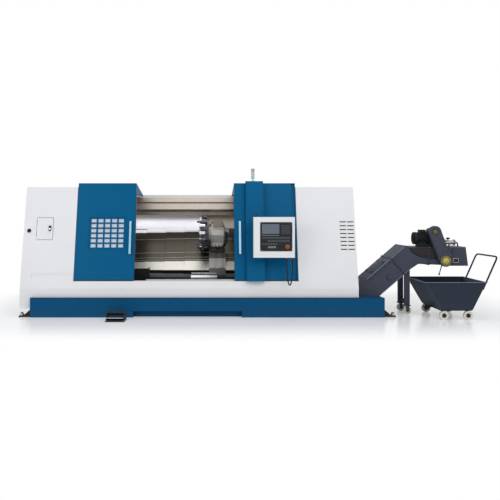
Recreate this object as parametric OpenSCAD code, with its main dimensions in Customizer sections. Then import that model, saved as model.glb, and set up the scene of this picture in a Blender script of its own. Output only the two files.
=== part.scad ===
// Slant bed lathe with wrap-over sliding doors, a swivelling operator panel,
// telescopic way covers, an inclined chip conveyor and a chip cart.
// Millimetres, +Z up, front towards -Y. The origin is on the floor, under the middle of the base.

/* [Base] */
// Length of the blue base
base_l = 5680; // [5200:10:6200]
// Depth of the blue base
base_d = 2200; // [2000:10:2500]
// Height of the blue base
base_h = 307; // [260:1:360]
// Length of the recess under the base front
toe_l = 1744; // [800:2:2400]
// Height of the recess under the base front
toe_h = 100; // [60:1:140]
// Depth of the recess under the base front
toe_d = 90; // [40:1:160]

/* [Enclosure] */
// How far the left cabinet stands out past the base
encl_out = 184; // [100:1:300]
// How far the right cabinet ends short of the base
encl_in = 400; // [350:1:500]
// Set-back of the enclosure behind the base front
skirt_set = 60; // [20:1:120]
// Height of the upright skirt above the base
skirt_h = 151; // [120:1:200]
// Lean of the front, in degrees from upright
lean = 13; // [8:0.5:18]
// Height of the white end cabinets
cab_z = 2108; // [2040:1:2160]
// Clearance of the left cabinet above the floor
cab_low = 136; // [80:1:200]
// Wall thickness of the inner guards
guard_t = 30; // [12:1:50]
// Wall thickness of the rear housing
wall_t = 60; // [30:1:80]
// Thickness of the rear roof
roof_t = 50; // [30:1:70]

/* [Doors] */
// Width of the left door
ldoor_w = 970; // [900:1:1010]
// Width of the right door
rdoor_w = 1022; // [980:1:1080]
// Width of the working opening between the open doors
mouth_w = 1636; // [1500:2:1700]
// Middle of the working opening along the machine
mouth_x = -372; // [-420:1:-320]
// Height of the lower edge of the doors
door_z0 = 577; // [550:1:620]
// Height of the front top edge of the doors
door_z1 = 2174; // [2150:1:2240]
// Thickness of a door leaf
door_t = 60; // [40:1:80]
// Height of the door's wedge hood at its front
hood_h = 190; // [140:1:200]
// Height of the rear edge of the hood
hood_rear_z = 2009; // [1995:1:2040]
// Gap between a door and what stays fixed
door_gap = 8; // [6:1:14]

/* [Working area] */
// Height of the spindle axis
axis_z = 1000; // [960:1:1040]
// Height of the turret axis above the bed ways
turret_up = 450; // [430:1:480]
// Distance of the turret axis from the spindle axis, along the slant
turret_back = 467; // [450:1:500]
// Radius of the turret disc
turret_r = 250; // [200:1:270]
// Thickness of the turret disc
turret_t = 150; // [110:1:160]
// Number of tool stations
stations = 12; // [8:1:12]
// Radius of the chuck
chuck_r = 250; // [200:1:270]
// Width of a bed rail
rail_w = 70; // [50:1:80]
// Height of a bed rail
rail_h = 50; // [35:1:55]

/* [Operator panel] */
// Width of the panel box
panel_w = 648; // [600:1:700]
// Height of the panel box
panel_h = 640; // [600:1:700]
// Depth of the panel box
panel_d = 130; // [100:1:150]

/* [Conveyor] */
// Width of the conveyor casing
conv_w = 500; // [400:1:600]
// Front face of the conveyor casing, behind the base front
conv_set = 250; // [200:1:400]
// Height of the conveyor head's top
conv_top = 1110; // [1080:1:1140]
// Height of the discharge mouth
conv_low = 812; // [780:1:840]

/* [Chip cart] */
// Length of the cart's rim
cart_l = 941; // [850:1:1000]
// Width of the cart's rim
cart_w = 820; // [700:1:860]
// Height of the cart's rim
cart_z = 593; // [540:1:620]
// Sheet thickness of the cart
cart_t = 8; // [5:1:10]
// Radius of the cart's wheels
wheel_r = 70; // [60:1:75]

/* [Hidden] */
$fn = 64;
blue = "#125f91";
white = "#e6e6e6";
cream = "#d8d4c8";
steel = "#b9bcc0";
dark = "#3b4152";
black = "#1c1d20";
cast = "#7d7f82";

// Clearances of seats, slides and pins
run_gap = 0.3;
pin_fit = 0.05;
way_gap = run_gap;
over = 1;

base_x1 = base_l / 2;
base_y0 = -base_d / 2;
toe_x = mouth_x + 55;
encl_x0 = -base_x1 - encl_out;
encl_x1 = base_x1 - encl_in;
front_y = base_y0 + skirt_set;
skirt_z = base_h + skirt_h;
back_y = base_d / 2 - 40;
tan_lean = tan(lean);
function lean_y(z) = front_y + (z - skirt_z) * tan_lean;

mouth_l = mouth_x - mouth_w / 2;
mouth_r = mouth_x + mouth_w / 2;
ldoor_x = mouth_l - ldoor_w;
rdoor_x1 = mouth_r + rdoor_w;
hood_rear_y = 290;
hood_low = door_z1 - hood_h;
lcab_x1 = ldoor_x - door_gap;
rcab_x0 = rdoor_x1 + door_gap;
sill_top = door_z0 - door_gap;
sill_d = 110;
sill_back = lean_y(sill_top) + sill_d;
head_x1 = mouth_l - 310;
inner_set = door_t + door_gap;
inner_top = hood_low - door_gap;
roof_y = hood_rear_y + 10;
roof_low = hood_rear_z - roof_t;

// The bed ways lie on a plane at 45 degrees
slant = 45;
spindle_y = -330;
bed_y = spindle_y + turret_back * cos(slant) + turret_up * sin(slant);
bed_z = axis_z + turret_back * sin(slant) - turret_up * cos(slant);
bed_lo = -880;
bed_hi = 470;
bed_hi_y = bed_y + bed_hi * cos(slant);
bed_hi_z = bed_z + bed_hi * sin(slant);
bed_lo_y = bed_y + bed_lo * cos(slant);
bed_lo_z = bed_z + bed_lo * sin(slant);
bed_x0 = head_x1;
bed_x1 = rcab_x0;
saddle_x0 = 30;
saddle_l = 290;
saddle_x1 = saddle_x0 + saddle_l;

// A profile in Y and Z, carried along X
module along_x(x0, x1) {
    translate([x0, 0, 0]) rotate([90, 0, 90]) linear_extrude(x1 - x0) children();
}

// A profile in X and Z, carried along Y
module along_y(y0, y1) {
    translate([0, y1, 0]) rotate([90, 0, 0]) linear_extrude(y1 - y0) children();
}

// A box between two corners
module block(lo, hi) {
    translate(lo) cube(hi - lo);
}

// A bar with its axis along X or along Y
module bar_x(x0, x1, r) {
    translate([x0, 0, 0]) rotate([0, 90, 0]) cylinder(r = r, h = x1 - x0);
}
module bar_y(y0, y1, r) {
    translate([0, y0, 0]) rotate([-90, 0, 0]) cylinder(r = r, h = y1 - y0);
}

// A profile that follows the leaning front from z0 to z1, between two set-backs
module leaning(z0, z1, s0, s1) {
    polygon([[lean_y(z0) + s0, z0], [lean_y(z0) + s1, z0], [lean_y(z1) + s1, z1], [lean_y(z1) + s0, z1]]);
}

// The frame of the bed ways: local Y runs up the slant, local Z stands off it
module on_bed() {
    translate([0, bed_y, bed_z]) rotate([slant, 0, 0]) children();
}

// Base with its toe recess, and a shallow joint between its two welded halves
seam_w = 6;
seam_d = 4;
module base() {
    color(blue) difference() {
        block([-base_x1, base_y0, 0], [base_x1, -base_y0, base_h]);
        block([toe_x - toe_l / 2, base_y0 - over, -over], [toe_x + toe_l / 2, base_y0 + toe_d, toe_h]);
        for (x = [encl_x1 - 700, ldoor_x + 120])
            block([x, base_y0 - over, toe_h + 20], [x + seam_w, base_y0 + seam_d, base_h + over]);
    }
}

// Levelling outrigger beyond each end of the base: a wedge rib on a pad
foot_l = 190;
foot_w = 120;
foot_in = 30;
module levelling_feet() {
    color(black) for (side = [-1, 1]) union() {
        x0 = side * base_x1;
        for (y = [base_y0 + foot_in, -base_y0 - foot_in - foot_w]) {
            along_y(y, y + foot_w) polygon([[x0, 0], [x0 + side * foot_l, 0], [x0 + side * foot_l, 22],
                [x0, 22]]);
            along_y(y + 45, y + 75) polygon([[x0, 20], [x0 + side * (foot_l - 60), 20], [x0, 130]]);
            translate([x0 + side * (foot_l - 35), y + foot_w / 2, 20]) cylinder(r = 18, h = 50);
        }
    }
}

// Closed end cabinet with the leaning front
module cabinet(x0, x1, z0) {
    along_x(x0, x1) polygon([[front_y, z0], [front_y, skirt_z], [lean_y(cab_z), cab_z],
        [back_y, cab_z], [back_y, z0]]);
}

// Small service door in the left cabinet, with a pivot rod along its left edge
access_w = 261;
access_x0 = encl_x0 + 215;
access_z0 = 1238;
access_z1 = 1591;
access_t = 6;
access_gap = 8;
rod_r = 4;
rod_in = 4;
rod_out = 30;
slot_z0 = 590;
slot_z1 = 690;
slot_d = 10;
port_r = 38;
module access_rod(r, out) {
    z0 = access_z0 - out;
    translate([access_x0 + rod_r, lean_y(z0) + rod_in, z0]) rotate([-lean, 0, 0])
        cylinder(r = r, h = (access_z1 - access_z0 + 2 * out) / cos(lean));
}
// Round cable port, standing square off the leaning face
module port(r, out) {
    translate([encl_x0 + 93, lean_y(1379), 1379]) rotate([90 - lean, 0, 0]) cylinder(r = r, h = out);
}
module left_cabinet() {
    color(white) difference() {
        union() {
            cabinet(encl_x0, -base_x1, cab_low);
            cabinet(-base_x1, lcab_x1, base_h);
            port(port_r, 14);
        }
        port(port_r - 10, 15);
        along_x(access_x0 - access_gap, access_x0 + access_w + access_gap)
            leaning(access_z0 - access_gap, access_z1 + access_gap, -5, 26);
        along_x(encl_x0 + 174, lcab_x1 - 8) leaning(slot_z0, slot_z1, -5, slot_d);
        access_rod(rod_r + pin_fit, rod_out + 2);
    }
}
module access_door() {
    color(white) union() {
        along_x(access_x0, access_x0 + access_w) leaning(access_z0, access_z1, 0, access_t);
        access_rod(rod_r, rod_out);
    }
}
module access_latch() {
    color(black) along_x(access_x0 + 195, access_x0 + 232) leaning(1380, 1465, -14, 0);
}

// Right cabinet with two columns of louvre slots near its right edge
vent_w = 105;
vent_gap = 20;
vent_x0 = encl_x1 - 2 * vent_w - vent_gap - 25;
vent_z0 = 1070;
vent_step = 64;
vent_h = 22;
vent_rows = 8;
module right_cabinet() {
    color(white) difference() {
        cabinet(rcab_x0, encl_x1, base_h);
        for (i = [0 : vent_rows - 1]) for (j = [0, 1]) {
            x = vent_x0 + j * (vent_w + vent_gap);
            z = vent_z0 + i * vent_step;
            along_x(x, x + vent_w) polygon([[lean_y(z) - 5, z], [lean_y(z) + 20, z],
                [lean_y(z + vent_h) - 1, z + vent_h]]);
        }
    }
}

// Sill under the doors and the runner that carries them
module front_sill() {
    color(white) along_x(lcab_x1, rcab_x0)
        polygon([[front_y, base_h], [front_y, skirt_z], [lean_y(sill_top), sill_top],
            [sill_back, sill_top], [sill_back, base_h]]);
}
module door_rail() {
    color(steel) along_x(lcab_x1 + 20, rcab_x0 - 20) leaning(sill_top, door_z0 - run_gap, 20, 40);
}

// Headstock behind the left door, bored for the spindle
nose_r = 100;
nose_l = 60;
module headstock_housing() {
    color(white) difference() {
        along_x(lcab_x1, head_x1)
            polygon([[sill_back, base_h], [sill_back, sill_top], [lean_y(sill_top) + inner_set, sill_top],
                [lean_y(inner_top) + inner_set, inner_top], [roof_y, inner_top], [roof_y, hood_rear_z],
                [back_y, hood_rear_z], [back_y, base_h]]);
        translate([0, spindle_y, axis_z]) bar_x(head_x1 - nose_l - run_gap, head_x1 + over, nose_r + pin_fit);
    }
}

// Sheet guard behind a door, turned over the top
module guard(x0, x1) {
    along_x(x0, x1) polygon([[lean_y(sill_top) + inner_set, sill_top],
        [lean_y(inner_top) + inner_set, inner_top], [roof_y, inner_top], [roof_y, inner_top - guard_t],
        [lean_y(inner_top - guard_t) + inner_set + guard_t, inner_top - guard_t],
        [lean_y(sill_top) + inner_set + guard_t, sill_top]]);
}
module inner_guards() {
    color(steel) guard(head_x1, mouth_l);
    color(steel) guard(mouth_r + 20, rcab_x0);
}

module rear_housing() {
    color(white) along_x(head_x1, rcab_x0)
        polygon([[roof_y, hood_rear_z], [back_y, hood_rear_z], [back_y, base_h],
            [back_y - wall_t, base_h], [back_y - wall_t, roof_low], [roof_y, roof_low]]);
}

// Bolted service panels on the back, each with a row of louvres
rear_panel_t = 12;
rear_panel_n = 5;
rear_panel_z0 = base_h + 130;
rear_panel_z1 = hood_rear_z - 130;
module rear_panels() {
    pitch = (encl_x1 - encl_x0) / rear_panel_n;
    color(white) difference() {
        for (i = [0 : rear_panel_n - 1])
            block([encl_x0 + i * pitch + 60, back_y, rear_panel_z0],
                [encl_x0 + (i + 1) * pitch - 60, back_y + rear_panel_t, rear_panel_z1]);
        for (i = [0, rear_panel_n - 1]) for (j = [0 : 9])
            block([encl_x0 + (i + 0.5) * pitch - 180, back_y + 4, rear_panel_z1 - 150 - j * 44],
                [encl_x0 + (i + 0.5) * pitch + 180, back_y + rear_panel_t + over,
                rear_panel_z1 - 130 - j * 44]);
    }
}

// Folded beam that carries the rear door runner
beam_low = 1700;
module roof_beam() {
    color(steel) along_x(head_x1, rcab_x0) polygon([[roof_y, roof_low], [roof_y, 1880],
        [roof_y + 40, 1868], [roof_y + 20, 1852], [roof_y + 20, 1745], [roof_y + 60, beam_low],
        [roof_y + 90, beam_low], [roof_y + 90, roof_low]]);
}

// Sheet behind the ways: a band that leans back as the bed does, then an upright
panel_in = 230;
module back_panel() {
    y1 = bed_hi_y + panel_in;
    z1 = bed_hi_z + 296;
    color(steel) along_x(head_x1, rcab_x0) polygon([[bed_hi_y + 5, bed_hi_z], [y1, z1], [y1, roof_low],
        [y1 + 20, roof_low], [y1 + 20, z1 - 8], [bed_hi_y + 33, bed_hi_z]]);
}

bed_back = back_y - wall_t;
module slant_bed() {
    color(cast) along_x(bed_x0, bed_x1)
        polygon([[bed_lo_y, base_h], [bed_lo_y, bed_lo_z], [bed_hi_y, bed_hi_z],
            [bed_back, bed_hi_z], [bed_back, base_h]]);
}

// Guide rails: a wide pair for the carriage and a narrow pair for the tailstock
rail_ys = [-540, 330];
tail_rail_w = 50;
tail_rail_h = 40;
rail_seat = 0.05;
tail_rail_ys = [-860, -700];
module bed_rails() {
    color(steel) on_bed() {
        for (y = rail_ys) block([bed_x0, y, rail_seat], [bed_x1, y + rail_w, rail_h]);
        for (y = tail_rail_ys) block([bed_x0 + 320, y, rail_seat], [bed_x1, y + tail_rail_w, tail_rail_h]);
    }
}

trough_t = 12;
trough_h = 180;
module chip_trough() {
    color(black) along_x(bed_x0, bed_x1)
        polygon([[sill_back, base_h], [sill_back, base_h + trough_h],
            [sill_back + trough_t, base_h + trough_h], [sill_back + 50, base_h + trough_t],
            [bed_lo_y, base_h + trough_t], [bed_lo_y, base_h]]);
}

// Three-jaw chuck with stepped jaws
chuck_t = 120;
jaw_w = 60;
module chuck() {
    color(steel) translate([head_x1, spindle_y, axis_z]) rotate([0, 90, 0]) difference() {
        union() {
            translate([0, 0, -nose_l]) cylinder(r = nose_r, h = nose_l + 5);
            translate([0, 0, run_gap]) cylinder(r = chuck_r - 40, h = 60 - run_gap);
            translate([0, 0, 60]) cylinder(r = chuck_r, h = chuck_t);
            for (a = [0 : 120 : 240]) rotate(a) {
                translate([80, -jaw_w / 2, 60 + chuck_t]) cube([chuck_r - 90, jaw_w, 30]);
                translate([110, -jaw_w / 2, 90 + chuck_t]) cube([80, jaw_w, 30]);
            }
        }
        translate([0, 0, 100]) cylinder(r = 60, h = 200);
        for (a = [0 : 120 : 240]) rotate(a + 60)
            translate([70, -12, 60 + chuck_t - 15]) cube([chuck_r, 24, 16]);
    }
}

// One section of a telescopic way cover; each step up is a size larger, to slide over the last
cover_t = 4;
cover_step = 11;
cover_top = rail_h + 16;
module cover(x0, x1, step) {
    foot = step == 0 ? 0 : run_gap;
    low = rail_ys[0] - 20 - step * cover_step;
    high = rail_ys[1] + rail_w + 20 + step * cover_step;
    top = cover_top + step * cover_step;
    color(steel) on_bed() difference() {
        block([x0, low, foot], [x1, high, top]);
        block([x0 - over, low + cover_t, foot - over], [x1 + over, high - cover_t, top - cover_t]);
    }
}
lcover_l = 450;
rcover_l = 740;
lcover_pitch = (saddle_x0 - bed_x0 - lcover_l) / 3;
rcover_pitch = (bed_x1 - saddle_x1 - rcover_l) / 2;
module cover_left_1() { cover(bed_x0, bed_x0 + lcover_l, 0); }
module cover_left_2() { cover(bed_x0 + lcover_pitch, bed_x0 + lcover_pitch + lcover_l, 1); }
module cover_left_3() { cover(bed_x0 + 2 * lcover_pitch, bed_x0 + 2 * lcover_pitch + lcover_l, 2); }
module cover_left_4() { cover(saddle_x0 - lcover_l, saddle_x0, 3); }
module cover_right_1() { cover(bed_x1 - rcover_l, bed_x1, 0); }
module cover_right_2() { cover(saddle_x1 + rcover_pitch, saddle_x1 + rcover_pitch + rcover_l, 1); }
module cover_right_3() { cover(saddle_x1, saddle_x1 + rcover_l, 2); }

// Saddle on the wide rails, with two raised ways across it for the cross slide
saddle_top = 170;
saddle_out = 60;
cross_way_w = 50;
cross_way_h = 18;
slide_in = 35;
slide_w = 220;
slide_x0 = saddle_x0 + slide_in;
slide_x1 = slide_x0 + slide_w;
cross_way_xs = [slide_x0 + 25, slide_x1 - 25 - cross_way_w];
saddle_y0 = rail_ys[0] - saddle_out;
saddle_y1 = rail_ys[1] + rail_w + saddle_out;
module saddle() {
    color(cast) on_bed() difference() {
        union() {
            block([saddle_x0, saddle_y0, way_gap], [saddle_x1, saddle_y1, saddle_top]);
            for (x = cross_way_xs)
                block([x, saddle_y0, saddle_top - over],
                    [x + cross_way_w, saddle_y1, saddle_top + cross_way_h]);
        }
        for (y = rail_ys) block([saddle_x0 - over, y - way_gap, -over],
            [saddle_x1 + over, y + rail_w + way_gap, rail_h + way_gap]);
    }
}
slide_top = saddle_top + 76;
slide_y0 = -250;
slide_y1 = 380;
module cross_slide() {
    color(cast) on_bed() difference() {
        block([slide_x0, slide_y0, saddle_top + way_gap], [slide_x1, slide_y1, slide_top]);
        for (x = cross_way_xs) block([x - way_gap, slide_y0 - over, saddle_top - over],
            [x + cross_way_w + way_gap, slide_y1 + over, saddle_top + cross_way_h + way_gap]);
    }
}

// Turret: the housing carries the disc on a round neck
disc_gap = 5;
disc_x0 = saddle_x0 - turret_t - disc_gap;
disc_x1 = saddle_x0 - disc_gap;
neck_r = 150;
hub_r = 60;
hub_l = 30;
house_half = 165;
house_cut = 60;
module turret_housing() {
    a = house_half;
    c = house_half - house_cut;
    color(white) on_bed() difference() {
        union() {
            block([slide_x0, -house_half, slide_top], [slide_x1, 200, turret_up]);
            translate([0, 0, turret_up]) along_x(slide_x0, slide_x1)
                polygon([[-a, -c], [-c, -a], [c, -a], [a, -c], [a, c], [c, a], [-c, a], [-a, c]]);
            translate([0, 0, turret_up]) bar_x(disc_x1 + run_gap, slide_x0, neck_r);
            block([slide_x0 + 40, -90, turret_up + a], [slide_x1 - 20, 90, turret_up + a + 70]);
        }
        for (x = [slide_x0 + 40 : 44 : slide_x0 + 172])
            block([x, -a - over, slide_top + 40], [x + 16, -a + 14, turret_up + c - 20]);
        translate([0, 0, turret_up]) bar_x(disc_x1, disc_x1 + hub_l + over, hub_r + pin_fit);
    }
}

// Disc with flat-sided stations: block holders, with boring bars in every third
holder_w = 64;
holder_h = 56;
holder_l = 96;
flat_r = turret_r * cos(180 / stations);
module turret_disc() {
    color(steel) on_bed() translate([disc_x0, 0, turret_up]) rotate([0, 90, 0]) union() {
        rotate(180 / stations) cylinder(r = turret_r, h = turret_t, $fn = stations);
        translate([0, 0, -14]) cylinder(r = 120, h = 20);
        translate([0, 0, turret_t - over]) cylinder(r = hub_r, h = hub_l);
        for (i = [0 : stations - 1]) rotate(i * 360 / stations) {
            translate([flat_r - 4, -holder_w / 2, 20]) cube([holder_h, holder_w, holder_l]);
            if (i % 3 == 0)
                translate([flat_r + 26, 0, -60]) cylinder(r = 16, h = 90, $fn = 24);
            else
                translate([flat_r + holder_h - 12, -12, 30]) cube([38, 25, 25]);
        }
    }
}

// Tailstock on its own narrow rails, with a barrel, a quill and a centre
tail_x0 = 780;
tail_l = 300;
quill_r = 60;
quill_out = 130;
point_l = 90;
tail_axis = -turret_back;
tail_foot_y0 = tail_rail_ys[0] - 15;
tail_foot_y1 = tail_rail_ys[1] + tail_rail_w + 15;
module tailstock() {
    color(white) on_bed() union() {
        translate([0, tail_axis, turret_up]) {
            bar_x(tail_x0 - quill_out, tail_x0, quill_r);
            bar_x(tail_x0 - 24, tail_x0, 110);
            bar_x(tail_x0, tail_x0 + tail_l, 150);
            bar_x(tail_x0 + tail_l, tail_x0 + tail_l + 30, 90);
            translate([tail_x0 - quill_out - point_l, 0, 0]) rotate([0, 90, 0])
                cylinder(r1 = 4, r2 = 42, h = point_l);
        }
        difference() {
            along_x(tail_x0, tail_x0 + tail_l)
                polygon([[tail_foot_y0, way_gap], [tail_foot_y0, 180], [tail_axis - 140, turret_up + 40],
                    [tail_axis + 140, turret_up - 40], [tail_axis + 60, 220], [tail_foot_y1, 120],
                    [tail_foot_y1, way_gap]]);
            for (y = tail_rail_ys) block([tail_x0 - over, y - way_gap, -over],
                [tail_x0 + tail_l + over, y + tail_rail_w + way_gap, tail_rail_h + way_gap]);
        }
    }
}

// Side section of a door: a leaning leaf that turns over the top as a wedge hood
module door_section() {
    polygon([[lean_y(door_z0), door_z0], [lean_y(door_z1), door_z1], [hood_rear_y, hood_rear_z],
        [hood_rear_y, hood_low], [lean_y(hood_low) + door_t, hood_low],
        [lean_y(door_z0) + door_t, door_z0]]);
}
win_x0 = ldoor_x + 215;
win_w = 590;
win_z0 = 1082;
win_z1 = 1600;
module left_door() {
    color(blue) difference() {
        along_x(ldoor_x, mouth_l) door_section();
        along_x(win_x0, win_x0 + win_w) leaning(win_z0, win_z1, -5, door_t + 5);
    }
}
pane_cols = 5;
pane_rows = 6;
bar_w = 26;
grille_s = 6;
grille_t = 20;
module left_door_grille() {
    dx = (win_w - bar_w) / pane_cols;
    dz = (win_z1 - win_z0 - bar_w) / pane_rows;
    color(blue) difference() {
        along_x(win_x0, win_x0 + win_w) leaning(win_z0, win_z1, grille_s, grille_s + grille_t);
        for (i = [0 : pane_cols - 1]) for (j = [0 : pane_rows - 1])
            along_x(win_x0 + bar_w + i * dx, win_x0 + (i + 1) * dx)
                leaning(win_z0 + bar_w + j * dz, win_z0 + (j + 1) * dz, 0, 30);
    }
}
module left_door_pane() {
    color(steel) along_x(win_x0, win_x0 + win_w)
        leaning(win_z0, win_z1, grille_s + grille_t, grille_s + grille_t + 10);
}

// Upright pull handle on the leaning face: a flat grip on two short stems
pull_w = 34;
pull_z0 = 1010;
pull_z1 = 1540;
module pull(x) {
    color(steel) union() {
        along_x(x, x + pull_w) leaning(pull_z0, pull_z1, -62, -36);
        for (z = [pull_z0 + 40, pull_z1 - 90])
            along_x(x + 5, x + pull_w - 5) leaning(z, z + 50, -40, 0);
    }
}
module left_door_handle() { pull(mouth_l - 90); }

// Right door, with a shallow channel down its right edge
strip_w = 66;
strip_d = 28;
module right_door() {
    color(blue) difference() {
        along_x(mouth_r, rdoor_x1) door_section();
        along_x(rdoor_x1 - strip_w, rdoor_x1 - 12) leaning(door_z0 + 12, door_z1 - 12, -over, strip_d);
    }
}
module right_door_handle() { pull(mouth_r + 70); }

// Proud post on the right door, which carries the operator panel on two knuckles
panel_x0 = mouth_r + 285;
panel_z0 = 968;
panel_z1 = panel_z0 + panel_h;
pivot_x = panel_x0 + 88;
pivot_y = base_y0 - 85;
panel_y0 = pivot_y - panel_d / 2;
arm_w = 60;
arm_t = 30;
arm_gap = 5;
pivot_r = 15;
pin_len = 40;
post_x0 = mouth_r + 190;
post_w = 290;
post_out = 90;
post_over = 30;
module panel_post() {
    color(blue) union() {
        along_x(post_x0, post_x0 + post_w) leaning(door_z0, door_z1 + post_over, -post_out, 0);
        for (z = [panel_z0 - arm_gap - arm_t, panel_z1 + arm_gap]) {
            block([pivot_x - arm_w / 2, pivot_y, z],
                [pivot_x + arm_w / 2, lean_y(z + arm_t) - post_out + 20, z + arm_t]);
            translate([pivot_x, pivot_y, z]) cylinder(r = arm_w / 2, h = arm_t);
        }
        translate([pivot_x, pivot_y, panel_z0 - arm_gap - over]) cylinder(r = pivot_r, h = pin_len);
        translate([pivot_x, pivot_y, panel_z1 + arm_gap + over - pin_len])
            cylinder(r = pivot_r, h = pin_len);
    }
}

// Signal lamp: a foot, a stem and three stacked lenses under a cap
lamp_x = post_x0 + 125;
lamp_r = 28;
lens_h = 52;
module signal_lamp() {
    color(steel) translate([lamp_x, lean_y(door_z1) - 20, door_z1 + post_over]) union() {
        cylinder(r = 36, h = 8);
        cylinder(r = 14, h = 40);
        for (i = [0 : 2]) {
            translate([0, 0, 40 + i * lens_h]) cylinder(r = lamp_r - 4, h = lens_h);
            translate([0, 0, 44 + i * lens_h]) cylinder(r = lamp_r, h = lens_h - 6);
        }
        translate([0, 0, 40 + 3 * lens_h]) cylinder(r = lamp_r, h = 14);
    }
}

// Panel box with a sunk face, a rear hump and two cable glands underneath
face_in = [110, 50, 110, 90];
face_d = 12;
hump_d = 40;
cable_r = 10;
gland_r = 20;
gland_l = 26;
cable_end = 10;
gland_x = panel_x0 + 530;
gland_dx = 90;
module panel_box() {
    color(white) difference() {
        union() {
            block([panel_x0, panel_y0, panel_z0], [panel_x0 + panel_w, panel_y0 + panel_d, panel_z1]);
            block([panel_x0 + 200, panel_y0 + panel_d, panel_z0 + 60],
                [panel_x0 + panel_w - 60, panel_y0 + panel_d + hump_d, panel_z1 - 60]);
            for (x = [gland_x, gland_x + gland_dx])
                translate([x, pivot_y, panel_z0 - gland_l]) cylinder(r = gland_r, h = gland_l + over);
        }
        block([panel_x0 + face_in[0], panel_y0 - over, panel_z0 + face_in[2]],
            [panel_x0 + panel_w - face_in[1], panel_y0 + face_d, panel_z1 - face_in[3]]);
        for (z = [panel_z0 - over, panel_z1 - pin_len])
            translate([pivot_x, pivot_y, z]) cylinder(r = pivot_r + pin_fit, h = pin_len + over);
        for (x = [gland_x, gland_x + gland_dx])
            translate([x, pivot_y, panel_z0 - gland_l - over])
                cylinder(r = cable_r + run_gap, h = gland_l - cable_end + over);
    }
}
module panel_face() {
    color(black) block([panel_x0 + face_in[0], panel_y0 + 4, panel_z0 + face_in[2]],
        [panel_x0 + panel_w - face_in[1], panel_y0 + face_d, panel_z1 - face_in[3]]);
}

// Cable that hangs in a loop under the panel: a round tube along rounded points
cable_route = [[0, 0, 0], [0, 0, -70], [1, -1, -160], [5, -3, -260], [14, -6, -350], [30, -8, -410],
    [45, -8, -430], [60, -8, -410], [76, -6, -350], [85, -3, -260], [89, -1, -160], [90, 0, -70],
    [90, 0, 0]];
cable_sides = 10;
cable_steps = 4;
cable_top = [gland_x, pivot_y, panel_z0 - cable_end];
function route_at(i) = cable_route[max(0, min(len(cable_route) - 1, i))];
function curve(i, t) = 0.5 * (2 * route_at(i) + t * (route_at(i + 1) - route_at(i - 1))
    + t * t * (2 * route_at(i - 1) - 5 * route_at(i) + 4 * route_at(i + 1) - route_at(i + 2))
    + t * t * t * (3 * route_at(i) - route_at(i - 1) - 3 * route_at(i + 1) + route_at(i + 2)));
cable_line = [for (i = [0 : len(cable_route) - 2]) for (k = [0 : cable_steps - 1]) curve(i, k / cable_steps),
    cable_route[len(cable_route) - 1]];
cable_n = len(cable_line);
function heading(i) = let(d = cable_line[min(i + 1, cable_n - 1)] - cable_line[max(i - 1, 0)])
    (i == 0 || i == cable_n - 1) ? [0, 0, i == 0 ? -1 : 1] : d / norm(d);
function ring(i) = let(d = heading(i), a = [0, 1, 0] - d * d[1], u = a / norm(a), v = cross(d, u))
    [for (k = [0 : cable_sides - 1]) cable_line[i]
        + cable_r * (cos(360 * k / cable_sides) * u + sin(360 * k / cable_sides) * v)];
module panel_cable() {
    points = [for (i = [0 : cable_n - 1]) each ring(i)];
    sides = [for (i = [0 : cable_n - 2]) for (k = [0 : cable_sides - 1])
        let(a = i * cable_sides + k, b = i * cable_sides + (k + 1) % cable_sides)
        [a, a + cable_sides, b + cable_sides, b]];
    ends = [[for (k = [0 : cable_sides - 1]) k],
        [for (k = [cable_sides - 1 : -1 : 0]) (cable_n - 1) * cable_sides + k]];
    color(black) translate(cable_top) polyhedron(points, concat(sides, ends));
}

// Inclined conveyor: it leaves the base's right end, climbs, and ends in a level head
conv_y0 = base_y0 + conv_set;
conv_y1 = conv_y0 + conv_w;
conv_x = base_x1;
under_x = conv_x - 10;
incline = 40.7;
incline_t = 352;
lip_d = 12;
seam_x = 790;
seam_u = 535;
bearing_r = 42;
lever_r = 8;
lever_l = 165;
lever_turn = 196;
head_x2 = conv_x + 1152;
module conveyor_casing() {
    color(dark) union() {
        along_y(conv_y0, conv_y1)
            polygon([[conv_x - 335, base_h], [conv_x - 335, base_h + 155], [conv_x - 228, base_h + 277],
                [conv_x + 416, conv_top + 28], [conv_x + 500, conv_top], [head_x2, conv_top],
                [head_x2, conv_low], [conv_x + 628, conv_low + 23], [conv_x + 523, 766],
                [under_x, base_h]]);
        translate([under_x, 0, base_h]) rotate([0, -incline, 0]) {
            block([30, conv_y0 - lip_d, incline_t - 50], [690, conv_y1 + lip_d, incline_t - 25]);
            block([seam_u, conv_y0 - lip_d, -lip_d], [seam_u + 18, conv_y1 + lip_d, incline_t + lip_d]);
            translate([330, 0, 130]) bar_y(conv_y0 - 2 * lip_d, conv_y0 + lip_d, bearing_r);
        }
        block([conv_x + seam_x, conv_y0 - lip_d, conv_low + 4],
            [conv_x + seam_x + 18, conv_y1 + lip_d, conv_top + lip_d]);
        translate([conv_x + 1040, conv_y0 + 60, conv_low + 5]) rotate([0, lever_turn, 0])
            cylinder(r = lever_r, h = lever_l);
    }
}

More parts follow.
